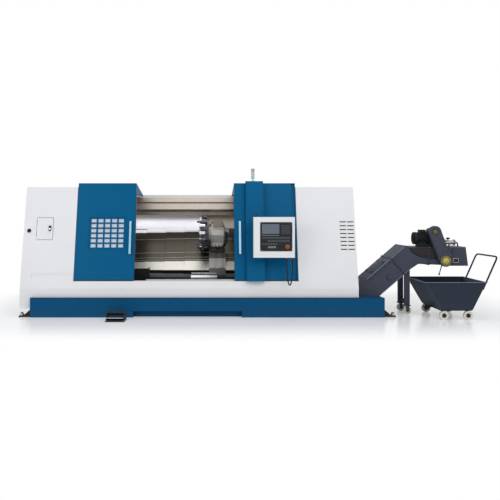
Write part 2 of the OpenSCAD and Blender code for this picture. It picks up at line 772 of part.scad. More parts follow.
// Discharge hood over the cart: a tapered sheet shell, open below, with a sunk window in its side
hood_x0 = head_x2 + run_gap;
hood_top_l = 260;
hood_low_l = 300;
hood_t = 10;
hood_in = 12;
module discharge_hood() {
    color(dark) difference() {
        along_y(conv_y0 + hood_in, conv_y1 - hood_in)
            polygon([[hood_x0, conv_low - 9], [hood_x0, conv_top + 5], [hood_x0 + hood_top_l, conv_top + 5],
                [hood_x0 + hood_low_l, conv_low - 9]]);
        along_y(conv_y0 + hood_in + hood_t, conv_y1 - hood_in - hood_t)
            polygon([[hood_x0 + hood_t, conv_low - 10], [hood_x0 + hood_t, conv_top + 5 - hood_t],
                [hood_x0 + hood_top_l - hood_t, conv_top + 5 - hood_t],
                [hood_x0 + hood_low_l - hood_t, conv_low - 10]]);
        block([hood_x0 + 60, conv_y0 + hood_in - over, conv_low + 50],
            [hood_x0 + 135, conv_y0 + hood_in + 5, conv_low + 108]);
    }
}
module conveyor_valve() {
    color(steel) translate([0, conv_y0 + 110, conv_top]) union() {
        translate([conv_x + 1180, 0, 5]) cylinder(r = 16, h = 60);
        translate([0, 0, 75]) bar_x(conv_x + 1112, conv_x + 1280, 34);
        translate([0, 0, 75]) bar_x(conv_x + 1100, conv_x + 1124, 44);
        translate([0, 0, 75]) bar_x(conv_x + 1250, conv_x + 1268, 44);
        translate([conv_x + 1160, 0, 100]) cylinder(r = 12, h = 36);
    }
}

// Chain guard: two round ends joined by straight flanks
top_wheel = [conv_x + 883, conv_top + 253];
low_wheel = [conv_x + 1055, conv_top - 221];
top_r = 98;
low_r = 96;
guard_d = 70;
module chain_guard() {
    span = low_wheel - top_wheel;
    turn = acos((low_r - top_r) / norm(span));
    way = atan2(span[1], span[0]);
    color(dark) union() {
        for (w = [[top_wheel, top_r], [low_wheel, low_r]]) translate([w[0][0], 0, w[0][1]]) {
            bar_y(conv_y0 - guard_d, conv_y0, w[1]);
            bar_y(conv_y0 - guard_d - 8, conv_y0 - guard_d, w[1] / 2);
        }
        along_y(conv_y0 - guard_d, conv_y0) polygon([
            top_wheel - top_r * [cos(way + turn), sin(way + turn)],
            low_wheel - low_r * [cos(way + turn), sin(way + turn)],
            low_wheel - low_r * [cos(way - turn), sin(way - turn)],
            top_wheel - top_r * [cos(way - turn), sin(way - turn)]]);
    }
}

// Geared motor on the casing's top: finned barrel, end cap, terminal box and gearbox
motor_x0 = conv_x + 590;
motor_l = 230;
motor_r = 88;
motor_z = conv_top + 144;
motor_y = conv_y0 + 130;
module conveyor_motor() {
    color(black) union() {
        translate([0, motor_y, motor_z]) {
            bar_x(motor_x0 + 40, motor_x0 + motor_l + 20, motor_r);
            bar_x(motor_x0, motor_x0 + 46, motor_r + 14);
            for (i = [0 : 7]) bar_x(motor_x0 + 62 + i * 20, motor_x0 + 70 + i * 20, motor_r + 12);
            block([motor_x0 + 90, -45, motor_r - 10], [motor_x0 + 190, 45, motor_r + 46]);
        }
        block([motor_x0 + 60, motor_y - 70, conv_top], [motor_x0 + 190, motor_y + 70, motor_z - 60]);
        block([motor_x0 + motor_l, conv_y0 + 10, conv_top],
            [motor_x0 + motor_l + 140, motor_y + 90, motor_z + 90]);
        translate([top_wheel[0], 0, top_wheel[1]]) bar_y(conv_y0, motor_y + 60, 62);
    }
}

// Legs with braces, on two casters
leg_x0 = conv_x + 430;
leg_w = 80;
leg_ys = [conv_y0 + 60, conv_y1 - 120];
leg_t = 60;
leg_low = 150;
caster_r = 62;
caster_w = 40;
axle_r = 10;
caster_x = leg_x0 + leg_w / 2;
function under_z(x) = base_h + (x - under_x) * tan(incline);
module conveyor_legs() {
    color(dark) union() {
        for (y = leg_ys) {
            along_y(y, y + leg_t) polygon([[leg_x0, leg_low], [leg_x0, under_z(leg_x0)],
                [leg_x0 + leg_w, under_z(leg_x0 + leg_w)], [leg_x0 + leg_w, leg_low]]);
            block([leg_x0 - 10, y - 24, leg_low - 15], [leg_x0 + leg_w + 10, y + leg_t + 20, leg_low]);
            block([leg_x0 + 15, y - 20, caster_r - 20], [leg_x0 + leg_w - 15, y - 10, leg_low - 10]);
            translate([caster_x, 0, caster_r]) bar_y(y - 11, y + caster_w + 9, axle_r);
        }
        block([leg_x0 + 20, leg_ys[0] + leg_t - over, leg_low + 30],
            [leg_x0 + 60, leg_ys[1] + over, leg_low + 80]);
    }
}
// A wheel with a hub and a bore, on an axle along Y
module wheel(x, y, r, w) {
    color(cream) translate([x, y, r]) rotate([-90, 0, 0]) difference() {
        cylinder(r = r, h = w);
        translate([0, 0, -over]) cylinder(r = axle_r + pin_fit, h = w + 2 * over);
        for (z = [-over, w - 5]) translate([0, 0, z]) difference() {
            cylinder(r = r - 14, h = 5 + over);
            translate([0, 0, -over]) cylinder(r = 24, h = 8 + over);
        }
    }
}
module conveyor_wheel_1() { wheel(caster_x, leg_ys[0], caster_r, caster_w); }
module conveyor_wheel_2() { wheel(caster_x, leg_ys[1], caster_r, caster_w); }

// Chip cart: a tapered open hopper with a turned-out rim
cart_x0 = conv_x + 560;
cart_x1 = cart_x0 + cart_l;
cart_y0 = base_y0 - 245;
cart_low = 160;
cart_in = 245;
cart_tail = 210;
lip = 14;
module hopper_form(inset, z0, z1) {
    along_y(cart_y0 + inset, cart_y0 + cart_w - inset)
        polygon([[cart_x0 + cart_in + inset, z0], [cart_x0 + inset, z1],
            [cart_x1 - inset, z1], [cart_x1 - cart_tail - inset, z0]]);
}
module cart_hopper() {
    color(dark) difference() {
        union() {
            hopper_form(0, cart_low, cart_z);
            block([cart_x0 - lip, cart_y0 - lip, cart_z - cart_t],
                [cart_x1 + lip, cart_y0 + cart_w + lip, cart_z]);
        }
        hopper_form(cart_t, cart_low + cart_t, cart_z + over);
    }
}

// Tube handle with rounded corners, on the cart's sloping end
tube_r = 13;
bend_r = 60;
handle_lo = [cart_x1 - 20, 470];
handle_hi = [cart_x1 + 208, 985];
lug_t = 16;
lug_z0 = 480;
lug_z1 = 550;
function wall_x(z) = cart_x1 - cart_tail * (cart_z - z) / (cart_z - cart_low);
function tube_x(z) = handle_lo[0] + (handle_hi[0] - handle_lo[0]) * (z - handle_lo[1])
    / (handle_hi[1] - handle_lo[1]);
handle_ys = [cart_y0 + 60, cart_y0 + cart_w - 60];
module bend(y, z, from) {
    translate([0, y, z]) rotate([90, 0, 90]) rotate(from) rotate_extrude(angle = 90)
        translate([bend_r, 0]) circle(r = tube_r);
}
module cart_handle() {
    rise = handle_hi - handle_lo;
    reach = norm(rise);
    color(black) union() {
        translate([handle_lo[0], 0, handle_lo[1]]) rotate([0, atan2(rise[0], rise[1]), 0]) {
            for (y = handle_ys) translate([0, y, 0]) cylinder(r = tube_r, h = reach - bend_r);
            bend(handle_ys[1] - bend_r, reach - bend_r, 0);
            bend(handle_ys[0] + bend_r, reach - bend_r, 90);
            translate([0, 0, reach]) bar_y(handle_ys[0] + bend_r, handle_ys[1] - bend_r, tube_r);
        }
        for (y = handle_ys) along_y(y - lug_t / 2, y + lug_t / 2)
            polygon([[wall_x(lug_z0) + run_gap, lug_z0], [wall_x(lug_z1) + run_gap, lug_z1],
                [tube_x(lug_z1), lug_z1], [tube_x(lug_z0), lug_z0]]);
    }
}

// Frame under the hopper: a plate, four wheel forks with axles and a tow bracket
cart_floor_x0 = cart_x0 + cart_in;
cart_floor_x1 = cart_x1 - cart_tail;
cart_wheel_xs = [cart_floor_x0 + 55, cart_floor_x1 - 55];
cart_wheel_w = 40;
cart_wheel_ys = [cart_y0 + 20, cart_y0 + cart_w - 20 - cart_wheel_w];
plate_t = 15;
module cart_frame() {
    color(black) union() {
        block([cart_floor_x0, cart_y0 + 20, cart_low - plate_t],
            [cart_floor_x1, cart_y0 + cart_w - 20, cart_low]);
        for (x = cart_wheel_xs) for (j = [0, 1]) {
            y = j == 0 ? cart_wheel_ys[0] + cart_wheel_w + 5 : cart_wheel_ys[1] - 17;
            block([x - 25, y, wheel_r - 20], [x + 25, y + 12, cart_low - 10]);
            translate([x, 0, wheel_r]) bar_y(j == 0 ? cart_wheel_ys[0] : y + 11,
                j == 0 ? y + 1 : cart_wheel_ys[1] + cart_wheel_w, axle_r);
        }
        block([cart_floor_x0 - 120, cart_y0 + cart_w / 2 - 40, cart_low - plate_t],
            [cart_floor_x0 + over, cart_y0 + cart_w / 2 + 40, cart_low]);
        along_y(cart_y0 + cart_w / 2 - 8, cart_y0 + cart_w / 2 + 8)
            polygon([[cart_floor_x0 - 120, cart_low - 5], [cart_floor_x0 - 100, cart_low - 70],
                [cart_floor_x0 - 70, cart_low - 70], [cart_floor_x0, cart_low - 5]]);
    }
}
module cart_wheel(i, j) { wheel(cart_wheel_xs[i], cart_wheel_ys[j], wheel_r, cart_wheel_w); }
module cart_wheel_1() { cart_wheel(0, 0); }
module cart_wheel_2() { cart_wheel(1, 0); }
module cart_wheel_3() { cart_wheel(0, 1); }
module cart_wheel_4() { cart_wheel(1, 1); }

// Foot pedal on the floor in front of the base: a hooded base and a tread on a cross rod
pedal_x0 = -1566;
pedal_w = 294;
pedal_x1 = pedal_x0 + pedal_w;
pedal_y0 = base_y0 - 400;
pedal_y1 = base_y0 - 140;
pedal_h = 138;
cheek_t = 12;
pedal_rod_r = 8;
pedal_rod_y = pedal_y1 - 40;
pedal_rod_z = 40;
tread_up = 12;
module pedal_base() {
    color(black) difference() {
        union() {
            block([pedal_x0, pedal_y0, 0], [pedal_x1, pedal_y1, 14]);
            for (x = [pedal_x0, pedal_x1 - cheek_t]) along_x(x, x + cheek_t)
                polygon([[pedal_y0 + 60, 0], [pedal_y0 + 110, pedal_h - 10], [pedal_y1 - 70, pedal_h],
                    [pedal_y1, 70], [pedal_y1, 0]]);
            along_x(pedal_x0, pedal_x1) polygon([[pedal_y0 + 110, pedal_h - 10], [pedal_y1 - 70, pedal_h],
                [pedal_y1, 70], [pedal_y1, 56], [pedal_y1 - 74, pedal_h - 12],
                [pedal_y0 + 110, pedal_h - 22]]);
        }
        translate([0, pedal_rod_y, pedal_rod_z])
            bar_x(pedal_x0 - over, pedal_x1 + over, pedal_rod_r + pin_fit);
    }
}
module pedal_plate() {
    color(steel) union() {
        translate([0, pedal_rod_y, pedal_rod_z]) bar_x(pedal_x0, pedal_x1, pedal_rod_r);
        along_x(pedal_x0 + cheek_t + 6, pedal_x1 - cheek_t - 6)
            polygon([[pedal_rod_y + 5, pedal_rod_z - 4], [pedal_y0 + 30, pedal_rod_z + tread_up],
                [pedal_y0 + 30, pedal_rod_z + tread_up + 9], [pedal_rod_y + 5, pedal_rod_z + 5]]);
    }
}

base();
levelling_feet();
left_cabinet();
access_door();
access_latch();
right_cabinet();
front_sill();
door_rail();
headstock_housing();
inner_guards();
rear_housing();
rear_panels();
roof_beam();
back_panel();
slant_bed();
bed_rails();
chip_trough();
chuck();
cover_left_1();
cover_left_2();
cover_left_3();
cover_left_4();
cover_right_1();
cover_right_2();
cover_right_3();
saddle();
cross_slide();
turret_housing();
turret_disc();
tailstock();
left_door();
left_door_grille();
left_door_pane();
left_door_handle();
right_door();
right_door_handle();
panel_post();
signal_lamp();
panel_box();
panel_face();
panel_cable();
conveyor_casing();
discharge_hood();
conveyor_valve();
chain_guard();
conveyor_motor();
conveyor_legs();
conveyor_wheel_1();
conveyor_wheel_2();
cart_hopper();
cart_handle();
cart_frame();
cart_wheel_1();
cart_wheel_2();
cart_wheel_3();
cart_wheel_4();
pedal_base();
pedal_plate();
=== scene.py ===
"""Dresses the slant bed lathe: paints its solids and adds the fine pieces that the solids leave out."""
import logging
import math
from collections.abc import Sequence
from dataclasses import dataclass, field
from enum import Enum

import bpy
import numpy as np
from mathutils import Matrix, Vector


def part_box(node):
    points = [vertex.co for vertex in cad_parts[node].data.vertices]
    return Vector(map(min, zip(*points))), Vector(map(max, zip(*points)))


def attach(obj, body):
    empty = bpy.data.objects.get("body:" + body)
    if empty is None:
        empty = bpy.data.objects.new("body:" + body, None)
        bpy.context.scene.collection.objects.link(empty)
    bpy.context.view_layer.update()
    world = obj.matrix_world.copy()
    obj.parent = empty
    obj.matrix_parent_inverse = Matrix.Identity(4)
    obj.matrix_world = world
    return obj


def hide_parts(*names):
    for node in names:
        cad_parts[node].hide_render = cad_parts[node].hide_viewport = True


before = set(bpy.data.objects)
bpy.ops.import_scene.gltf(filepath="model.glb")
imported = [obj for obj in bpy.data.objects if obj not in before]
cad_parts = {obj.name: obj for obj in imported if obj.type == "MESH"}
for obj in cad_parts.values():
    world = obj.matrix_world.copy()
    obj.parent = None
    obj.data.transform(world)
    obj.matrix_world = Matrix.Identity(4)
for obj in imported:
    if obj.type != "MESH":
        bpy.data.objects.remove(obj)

LOG = logging.getLogger("lathe")
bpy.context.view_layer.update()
RGB = tuple[float, float, float]
PAIR = tuple[float, float]
POINT = tuple[float, float, float]
MATERIAL = bpy.types.Material


def linear(red: float, green: float, blue: float) -> RGB:
    """Turns a colour from 0 to 255 into the linear values that a shader takes.

    Each channel c is divided by 255 and raised by the sRGB curve: ((c + 0.055) / 1.055) ** 2.4.

    Args:
        red: Red, 0 to 255.
        green: Green, 0 to 255.
        blue: Blue, 0 to 255.

    Returns:
        The three linear values.
    """
    return tuple(((c / 255 + 0.055) / 1.055) ** 2.4 for c in (red, green, blue))


class Axis(Enum):
    """The direction that a grain runs along."""

    X = (0.04, 1.0, 1.0)
    Y = (1.0, 0.04, 1.0)
    Z = (1.0, 1.0, 0.04)


class Body(Enum):
    """The moving bodies that added pieces ride on."""

    ROOT = "root"
    LEFT_DOOR = "left_leaf"
    RIGHT_DOOR = "right_leaf"
    PANEL = "panel"
    ACCESS = "access"
    CARRIAGE = "carriage"
    SLIDE = "slide"
    TURRET = "turret"
    TAIL = "tail"
    SPINDLE = "spindle"
    PEDAL = "pedal"
    LEFT_COVER_INNER = "left_cover_inner"
    LEFT_COVER_OUTER = "left_cover_outer"
    RIGHT_COVER_MIDDLE = "right_cover_middle"
    CASTER_1 = "caster_1"
    CASTER_2 = "caster_2"
    WHEEL_1 = "wheel_1"
    WHEEL_2 = "wheel_2"
    WHEEL_3 = "wheel_3"
    WHEEL_4 = "wheel_4"


class Slot(Enum):
    """The record's material slots."""

    BLUE = "blue_paint"
    WHITE = "white_paint"
    DARK = "dark_paint"
    IRON = "black_iron"
    STEEL = "steel"
    PLASTIC = "black_plastic"
    LAMP = "lamp_plastic"
    GLASS = "window_glass"
    RUBBER = "cable_rubber"


MM = 0.001
FRONT_LEAN = math.radians(13.0)
BED_SLANT = math.radians(45.0)
BED_Y = 318.4
BED_Z = 1012.0
TURRET_AT = (0.2, 1330.2)
FRONT_Y = -1040
SKIRT_Z = 458


# Shapes worked out as whole arrays


@dataclass
class Form:
    """Points and faces of a surface in millimetres, before it becomes a mesh in metres.

    Attributes:
        points: One row of x, y and z in millimetres for each point.
        faces: Tuples of point numbers, turning left round the outward side.
    """

    points: np.ndarray
    faces: list[tuple[int, ...]]

    def moved(self, turn: np.ndarray, shift: Sequence[float]) -> "Form":
        """Turns the points by a matrix, then shifts them.

        Args:
            turn: A 3 by 3 turning matrix.
            shift: The shift in millimetres.

        Returns:
            The placed form.
        """
        return Form(self.points @ turn.T + np.asarray(shift), self.faces)

    def at(self, shift: Sequence[float]) -> "Form":
        """The form shifted without a turn."""
        return Form(self.points + np.asarray(shift), self.faces)


def joined(forms: Sequence[Form]) -> Form:
    """Puts several forms into one, renumbering their faces.

    Args:
        forms: The forms.

    Returns:
        One form with all the points and faces.
    """
    starts = np.cumsum([0] + [len(form.points) for form in forms])
    faces = [tuple(i + start for i in face) for form, start in zip(forms, starts) for face in form.faces]
    return Form(np.vstack([form.points for form in forms]), faces)


def turn_about(axis: int, angle: float) -> np.ndarray:
    """The matrix that turns by an angle about one axis.

    Args:
        axis: 0, 1 or 2 for X, Y or Z.
        angle: The angle in radians.

    Returns:
        The 3 by 3 matrix.
    """
    first, second = [(1, 2), (2, 0), (0, 1)][axis]
    turn = np.eye(3)
    turn[first, first] = turn[second, second] = math.cos(angle)
    turn[first, second] = -math.sin(angle)
    turn[second, first] = math.sin(angle)
    return turn


def grid_faces(rows: int, columns: int, round_rows: bool) -> list[tuple[int, ...]]:
    """Quads between neighbouring points of a grid of rings, numbered ring by ring.

    Args:
        rows: Number of rings.
        columns: Number of points in a ring, of which the last joins the first.
        round_rows: Whether the last ring joins the first. If not, a flat face closes each of the two.

    Returns:
        The quads, and the two closing faces.
    """
    row, column = np.meshgrid(np.arange(rows if round_rows else rows - 1), np.arange(columns), indexing="ij")
    below, right = (row + 1) % rows, (column + 1) % columns
    corners = [row * columns + column, row * columns + right, below * columns + right,
               below * columns + column]
    faces = [tuple(face) for face in np.stack(corners, -1).reshape(-1, 4).tolist()]
    if not round_rows:
        last = (rows - 1) * columns
        faces += [tuple(range(columns))[::-1], tuple(range(last, last + columns))]
    return faces


def rounded_block(low: Sequence[float], high: Sequence[float], radius: float, steps: int = 3) -> Form:
    """A block with every edge and corner rounded.

    For a direction d at longitude u and latitude v, the point is the centre, plus the sign of d times
    the half size less the radius, plus the radius times d. Each quarter has its own steps, so that the
    flat faces span the jumps between the signs.

    Args:
        low: Lowest corner.
        high: Highest corner.
        radius: Edge radius.
        steps: Steps in a quarter turn.

    Returns:
        The closed form.
    """
    quarter = np.linspace(0, math.pi / 2, steps + 1)
    around = (np.arange(4)[:, None] * math.pi / 2 + quarter).ravel()
    sign_x = np.repeat([1, -1, -1, 1], steps + 1)
    sign_y = np.repeat([1, 1, -1, -1], steps + 1)
    up = np.concatenate([quarter - math.pi / 2, quarter])
    sign_z = np.repeat([-1, 1], steps + 1)
    half = (np.asarray(high) - np.asarray(low)) / 2
    centre = np.asarray(low) + half
    inner = half - radius
    x = sign_x * inner[0] + radius * np.cos(up)[:, None] * np.cos(around)
    y = sign_y * inner[1] + radius * np.cos(up)[:, None] * np.sin(around)
    z = (sign_z * inner[2] + radius * np.sin(up))[:, None] + 0 * around
    points = np.stack([x, y, z], -1).reshape(-1, 3) + centre
    return Form(points, grid_faces(len(up), len(around), False))


def turned(profile: np.ndarray | Sequence[PAIR], sides: int = 32) -> Form:
    """A solid of revolution about Z: radius and height are the profile's, and the angle is the grid's.

    Args:
        profile: Pairs of radius and height, from the bottom up on the outer side.
        sides: Number of sides.

    Returns:
        The form, closed by a flat face at each end.
    """
    radius, height = np.asarray(profile, float).T
    around = np.arange(sides) * 2 * math.pi / sides
    points = np.stack([radius[:, None] * np.cos(around), radius[:, None] * np.sin(around),
                       height[:, None] + 0 * around], -1).reshape(-1, 3)
    return Form(points, grid_faces(len(radius), sides, False))


def swept(profile: np.ndarray, path: np.ndarray, side: Sequence[float], round_path: bool = False) -> Form:
    """A closed profile carried along a path.

    Each ring is the path point plus the profile's first number times the side direction, made square
    to the path, plus its second number times the cross product of path direction and side.

    Args:
        profile: Rows of two offsets in millimetres, turning left as seen against the path's direction.
        path: Rows of x, y and z.
        side: A direction that is never along the path.
        round_path: Whether the path's end joins its start.

    Returns:
        The form, with end faces where the path is open.
    """
    if round_path:
        along = np.roll(path, -1, 0) - np.roll(path, 1, 0)
    else:
        along = np.gradient(path, axis=0)
    along = along / np.linalg.norm(along, axis=1, keepdims=True)
    out = np.asarray(side, float) - along * (along @ np.asarray(side, float))[:, None]
    out = out / np.linalg.norm(out, axis=1, keepdims=True)
    over = np.cross(along, out)
    points = (path[:, None] + profile[None, :, :1] * out[:, None] + profile[None, :, 1:] * over[:, None])
    return Form(points.reshape(-1, 3), grid_faces(len(path), len(profile), round_path))


def ring_profile(radius: float, sides: int = 12) -> np.ndarray:
    """A round profile of that radius."""
    around = np.arange(sides) * 2 * math.pi / sides
    return radius * np.stack([np.cos(around), np.sin(around)], -1)


def box_profile(width: float, height: float, cut: float) -> np.ndarray:
    """An upright rectangle with its four corners cut.

    Args:
        width: Full size along the side direction.
        height: Full size across it.
        cut: Size of the cut corners.

    Returns:
        Eight rows of two offsets.
    """
    a, b = width / 2, height / 2
    return np.array([(a, -b + cut), (a, b - cut), (a - cut, b), (-a + cut, b), (-a, b - cut), (-a, -b + cut),
                     (-a + cut, -b), (a - cut, -b)])


def sheet_profile(points: Sequence[PAIR], thick: float) -> np.ndarray:
    """The section of a bent sheet, whose thickness lies to the left of its line.

    Each point is shifted along the mean of the left-hand directions of its two stretches, by the
    thickness over the cosine of half the bend.

    Args:
        points: Pairs of Y and Z along the bent line.
        thick: The sheet's thickness.

    Returns:
        The closed outline, turning left.
    """
    line = np.asarray(points, float)
    runs = np.diff(line, axis=0)
    left = np.stack([-runs[:, 1], runs[:, 0]], -1) / np.linalg.norm(runs, axis=1, keepdims=True)
    mean = np.vstack([left[:1], left[:-1] + left[1:], left[-1:]])
    mean = mean / np.linalg.norm(mean, axis=1, keepdims=True)
    share = np.vstack([left[:1], left])
    reach = thick / np.maximum(0.3, (mean * share).sum(1))
    return np.vstack([line, (line + mean * reach[:, None])[::-1]])


def drawn_along_x(profile: np.ndarray, x0: float, x1: float, steps: int = 1) -> Form:
    """A section in Y and Z drawn out along X.

    Args:
        profile: The closed outline, turning left.
        x0: Where it starts.
        x1: Where it ends.
        steps: Stretches between the ends.

    Returns:
        The form.
    """
    path = np.stack([np.linspace(x0, x1, steps + 1), np.zeros(steps + 1), np.zeros(steps + 1)], -1)
    return swept(profile, path, (0, 1, 0))


def drawn_along_y(outline: np.ndarray, back: float, front: float) -> Form:
    """An outline in X and Z drawn out from the back to the front.

    Args:
        outline: The closed outline, turning left as seen from the front.
        back: The Y where it starts.
        front: The Y where it ends.

    Returns:
        The form.
    """
    return swept(outline, np.array([(0, back, 0), (0, front, 0)], float), (1, 0, 0))


def on_slope(up: float, out: float) -> PAIR:
    """The Y and Z of a place on the slant bed.

    Args:
        up: The way up the slope, from the carriage's middle.
        out: The height over the bed's face.

    Returns:
        Y and Z in millimetres.
    """
    return (BED_Y + (up - out) * math.cos(BED_SLANT), BED_Z + (up + out) * math.sin(BED_SLANT))


def front_at(z: float) -> float:
    """The Y of the leaning front at a height."""
    return FRONT_Y + (z - SKIRT_Z) * math.tan(FRONT_LEAN)


def frame_path(x0: float, x1: float, z0: float, z1: float, steps: int = 8) -> np.ndarray:
    """Points round an upright rectangle at Y nought.

    Args:
        x0: Its left edge.
        x1: Its right edge.
        z0: Its lower edge.
        z1: Its upper edge.
        steps: Points to a side.

    Returns:
        The points, turning left as seen from the front.
    """
    corners = np.array([(x0, 0.0, z0), (x1, 0.0, z0), (x1, 0.0, z1), (x0, 0.0, z1)])
    share = np.linspace(0, 1, steps, endpoint=False)[:, None]
    return np.vstack([a + (b - a) * share for a, b in zip(corners, np.roll(corners, -1, 0))])


def smooth_path(points: Sequence[Sequence[float]], steps: int = 4) -> np.ndarray:
    """A curve through every point: p = 0.5 (2b + t(c-a) + t2(2a-5b+4c-d) + t3(3b-a-3c+d)).

    Args:
        points: The points a, b, c, d and so on, each end counted twice.
        steps: Points to a stretch.

    Returns:
        The points of the curve.
    """
    line = np.asarray(points, float)
    padded = np.vstack([line[:1], line, line[-1:]])
    t = (np.arange(steps) / steps)[None, :, None]
    a, b, c, d = (padded[i:i + len(line) - 1, None] for i in range(4))
    curve = 0.5 * (2 * b + t * (c - a) + t ** 2 * (2 * a - 5 * b + 4 * c - d)
                   + t ** 3 * (3 * b - a - 3 * c + d))
    return np.vstack([curve.reshape(-1, 3), line[-1:]])


def cap_screw(radius: float, height: float) -> Form:
    """A socket head screw, standing on the origin along Z: a chamfered head with a sunk socket.

    Args:
        radius: The head's radius.
        height: The head's height.

    Returns:
        The form.
    """
    return turned([(radius, -1), (radius, height * 0.85), (radius * 0.9, height), (radius * 0.5, height),
                   (radius * 0.45, height * 0.55), (radius * 0.05, height * 0.5)], 12)


def hex_bolt(radius: float, height: float) -> Form:
    """A bolt head on its washer, standing on the origin along Z.

    Args:
        radius: The head's radius over its corners.
        height: The head's height.

    Returns:
        The form.
    """
    washer = turned([(radius * 1.35, -1), (radius * 1.35, height * 0.2), (radius * 1.25, height * 0.3)], 20)
    rim = radius * 0.84
    head = turned([(radius, 0.0), (radius, height * 0.85), (rim, height), (radius * 0.1, height)], 6)
    return joined([washer, head])


def piece(name: str, form: Form, body: Body, finish: MATERIAL,
          smooth: bool = True) -> bpy.types.Object:
    """Makes a form into a piece that rides on a body.

    Args:
        name: The piece's name.
        form: Its points and faces.
        body: The body that carries it.
        finish: Its material.
        smooth: Whether faces that meet at less than 35 degrees are shaded smooth.

    Returns:
        The object.
    """
    mesh = bpy.data.meshes.new(name)
    mesh.from_pydata((form.points * MM).tolist(), [], form.faces)
    mesh.materials.append(finish)
    if smooth:
        mesh.shade_smooth()
        mesh.set_sharp_from_angle(angle=math.radians(35))
    made = bpy.data.objects.new(name, mesh)
    bpy.context.collection.objects.link(made)
    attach(made, body.value)
    LOG.info("%s: %d faces on %s", name, len(form.faces), body.value)
    return made


# Shader sums


class Wire:
    """A shader socket that takes part in sums.

    Attributes:
        shop: The shader that owns the nodes.
        socket: The output socket that carries the value.
    """

    def __init__(self, shop: "Shader", socket: bpy.types.NodeSocket) -> None:
        """Keeps the shader and the socket."""
        self.shop = shop
        self.socket = socket

    def sum_with(self, operation: str, first: "Wire | float", second: "Wire | float") -> "Wire":
        """Adds one Math node.

        Args:
            operation: The Math node's operation.
            first: The first value or wire.
            second: The second value or wire.

        Returns:
            The node's result.
        """
        return self.shop.node("ShaderNodeMath", {"operation": operation}, {0: first, 1: second})

    def __add__(self, other: "Wire | float") -> "Wire":
        """Self plus other."""
        return self.sum_with("ADD", self, other)

    def __sub__(self, other: "Wire | float") -> "Wire":
        """Self minus other."""
        return self.sum_with("SUBTRACT", self, other)

    def __rsub__(self, other: float) -> "Wire":
        """Other minus self."""
        return self.sum_with("SUBTRACT", other, self)

    def __mul__(self, other: "Wire | float") -> "Wire":
        """Self times other."""
        return self.sum_with("MULTIPLY", self, other)

    def __truediv__(self, other: "Wire | float") -> "Wire":
        """Self divided by other."""
        return self.sum_with("DIVIDE", self, other)

    def __pow__(self, other: "Wire | float") -> "Wire":
        """Self raised to other."""
        return self.sum_with("POWER", self, other)

    def __gt__(self, other: "Wire | float") -> "Wire":
        """One where self is over other, else nought."""
        return self.sum_with("GREATER_THAN", self, other)

    def __lt__(self, other: "Wire | float") -> "Wire":
        """One where self is under other, else nought."""
        return self.sum_with("LESS_THAN", self, other)

    __radd__ = __add__
    __rmul__ = __mul__


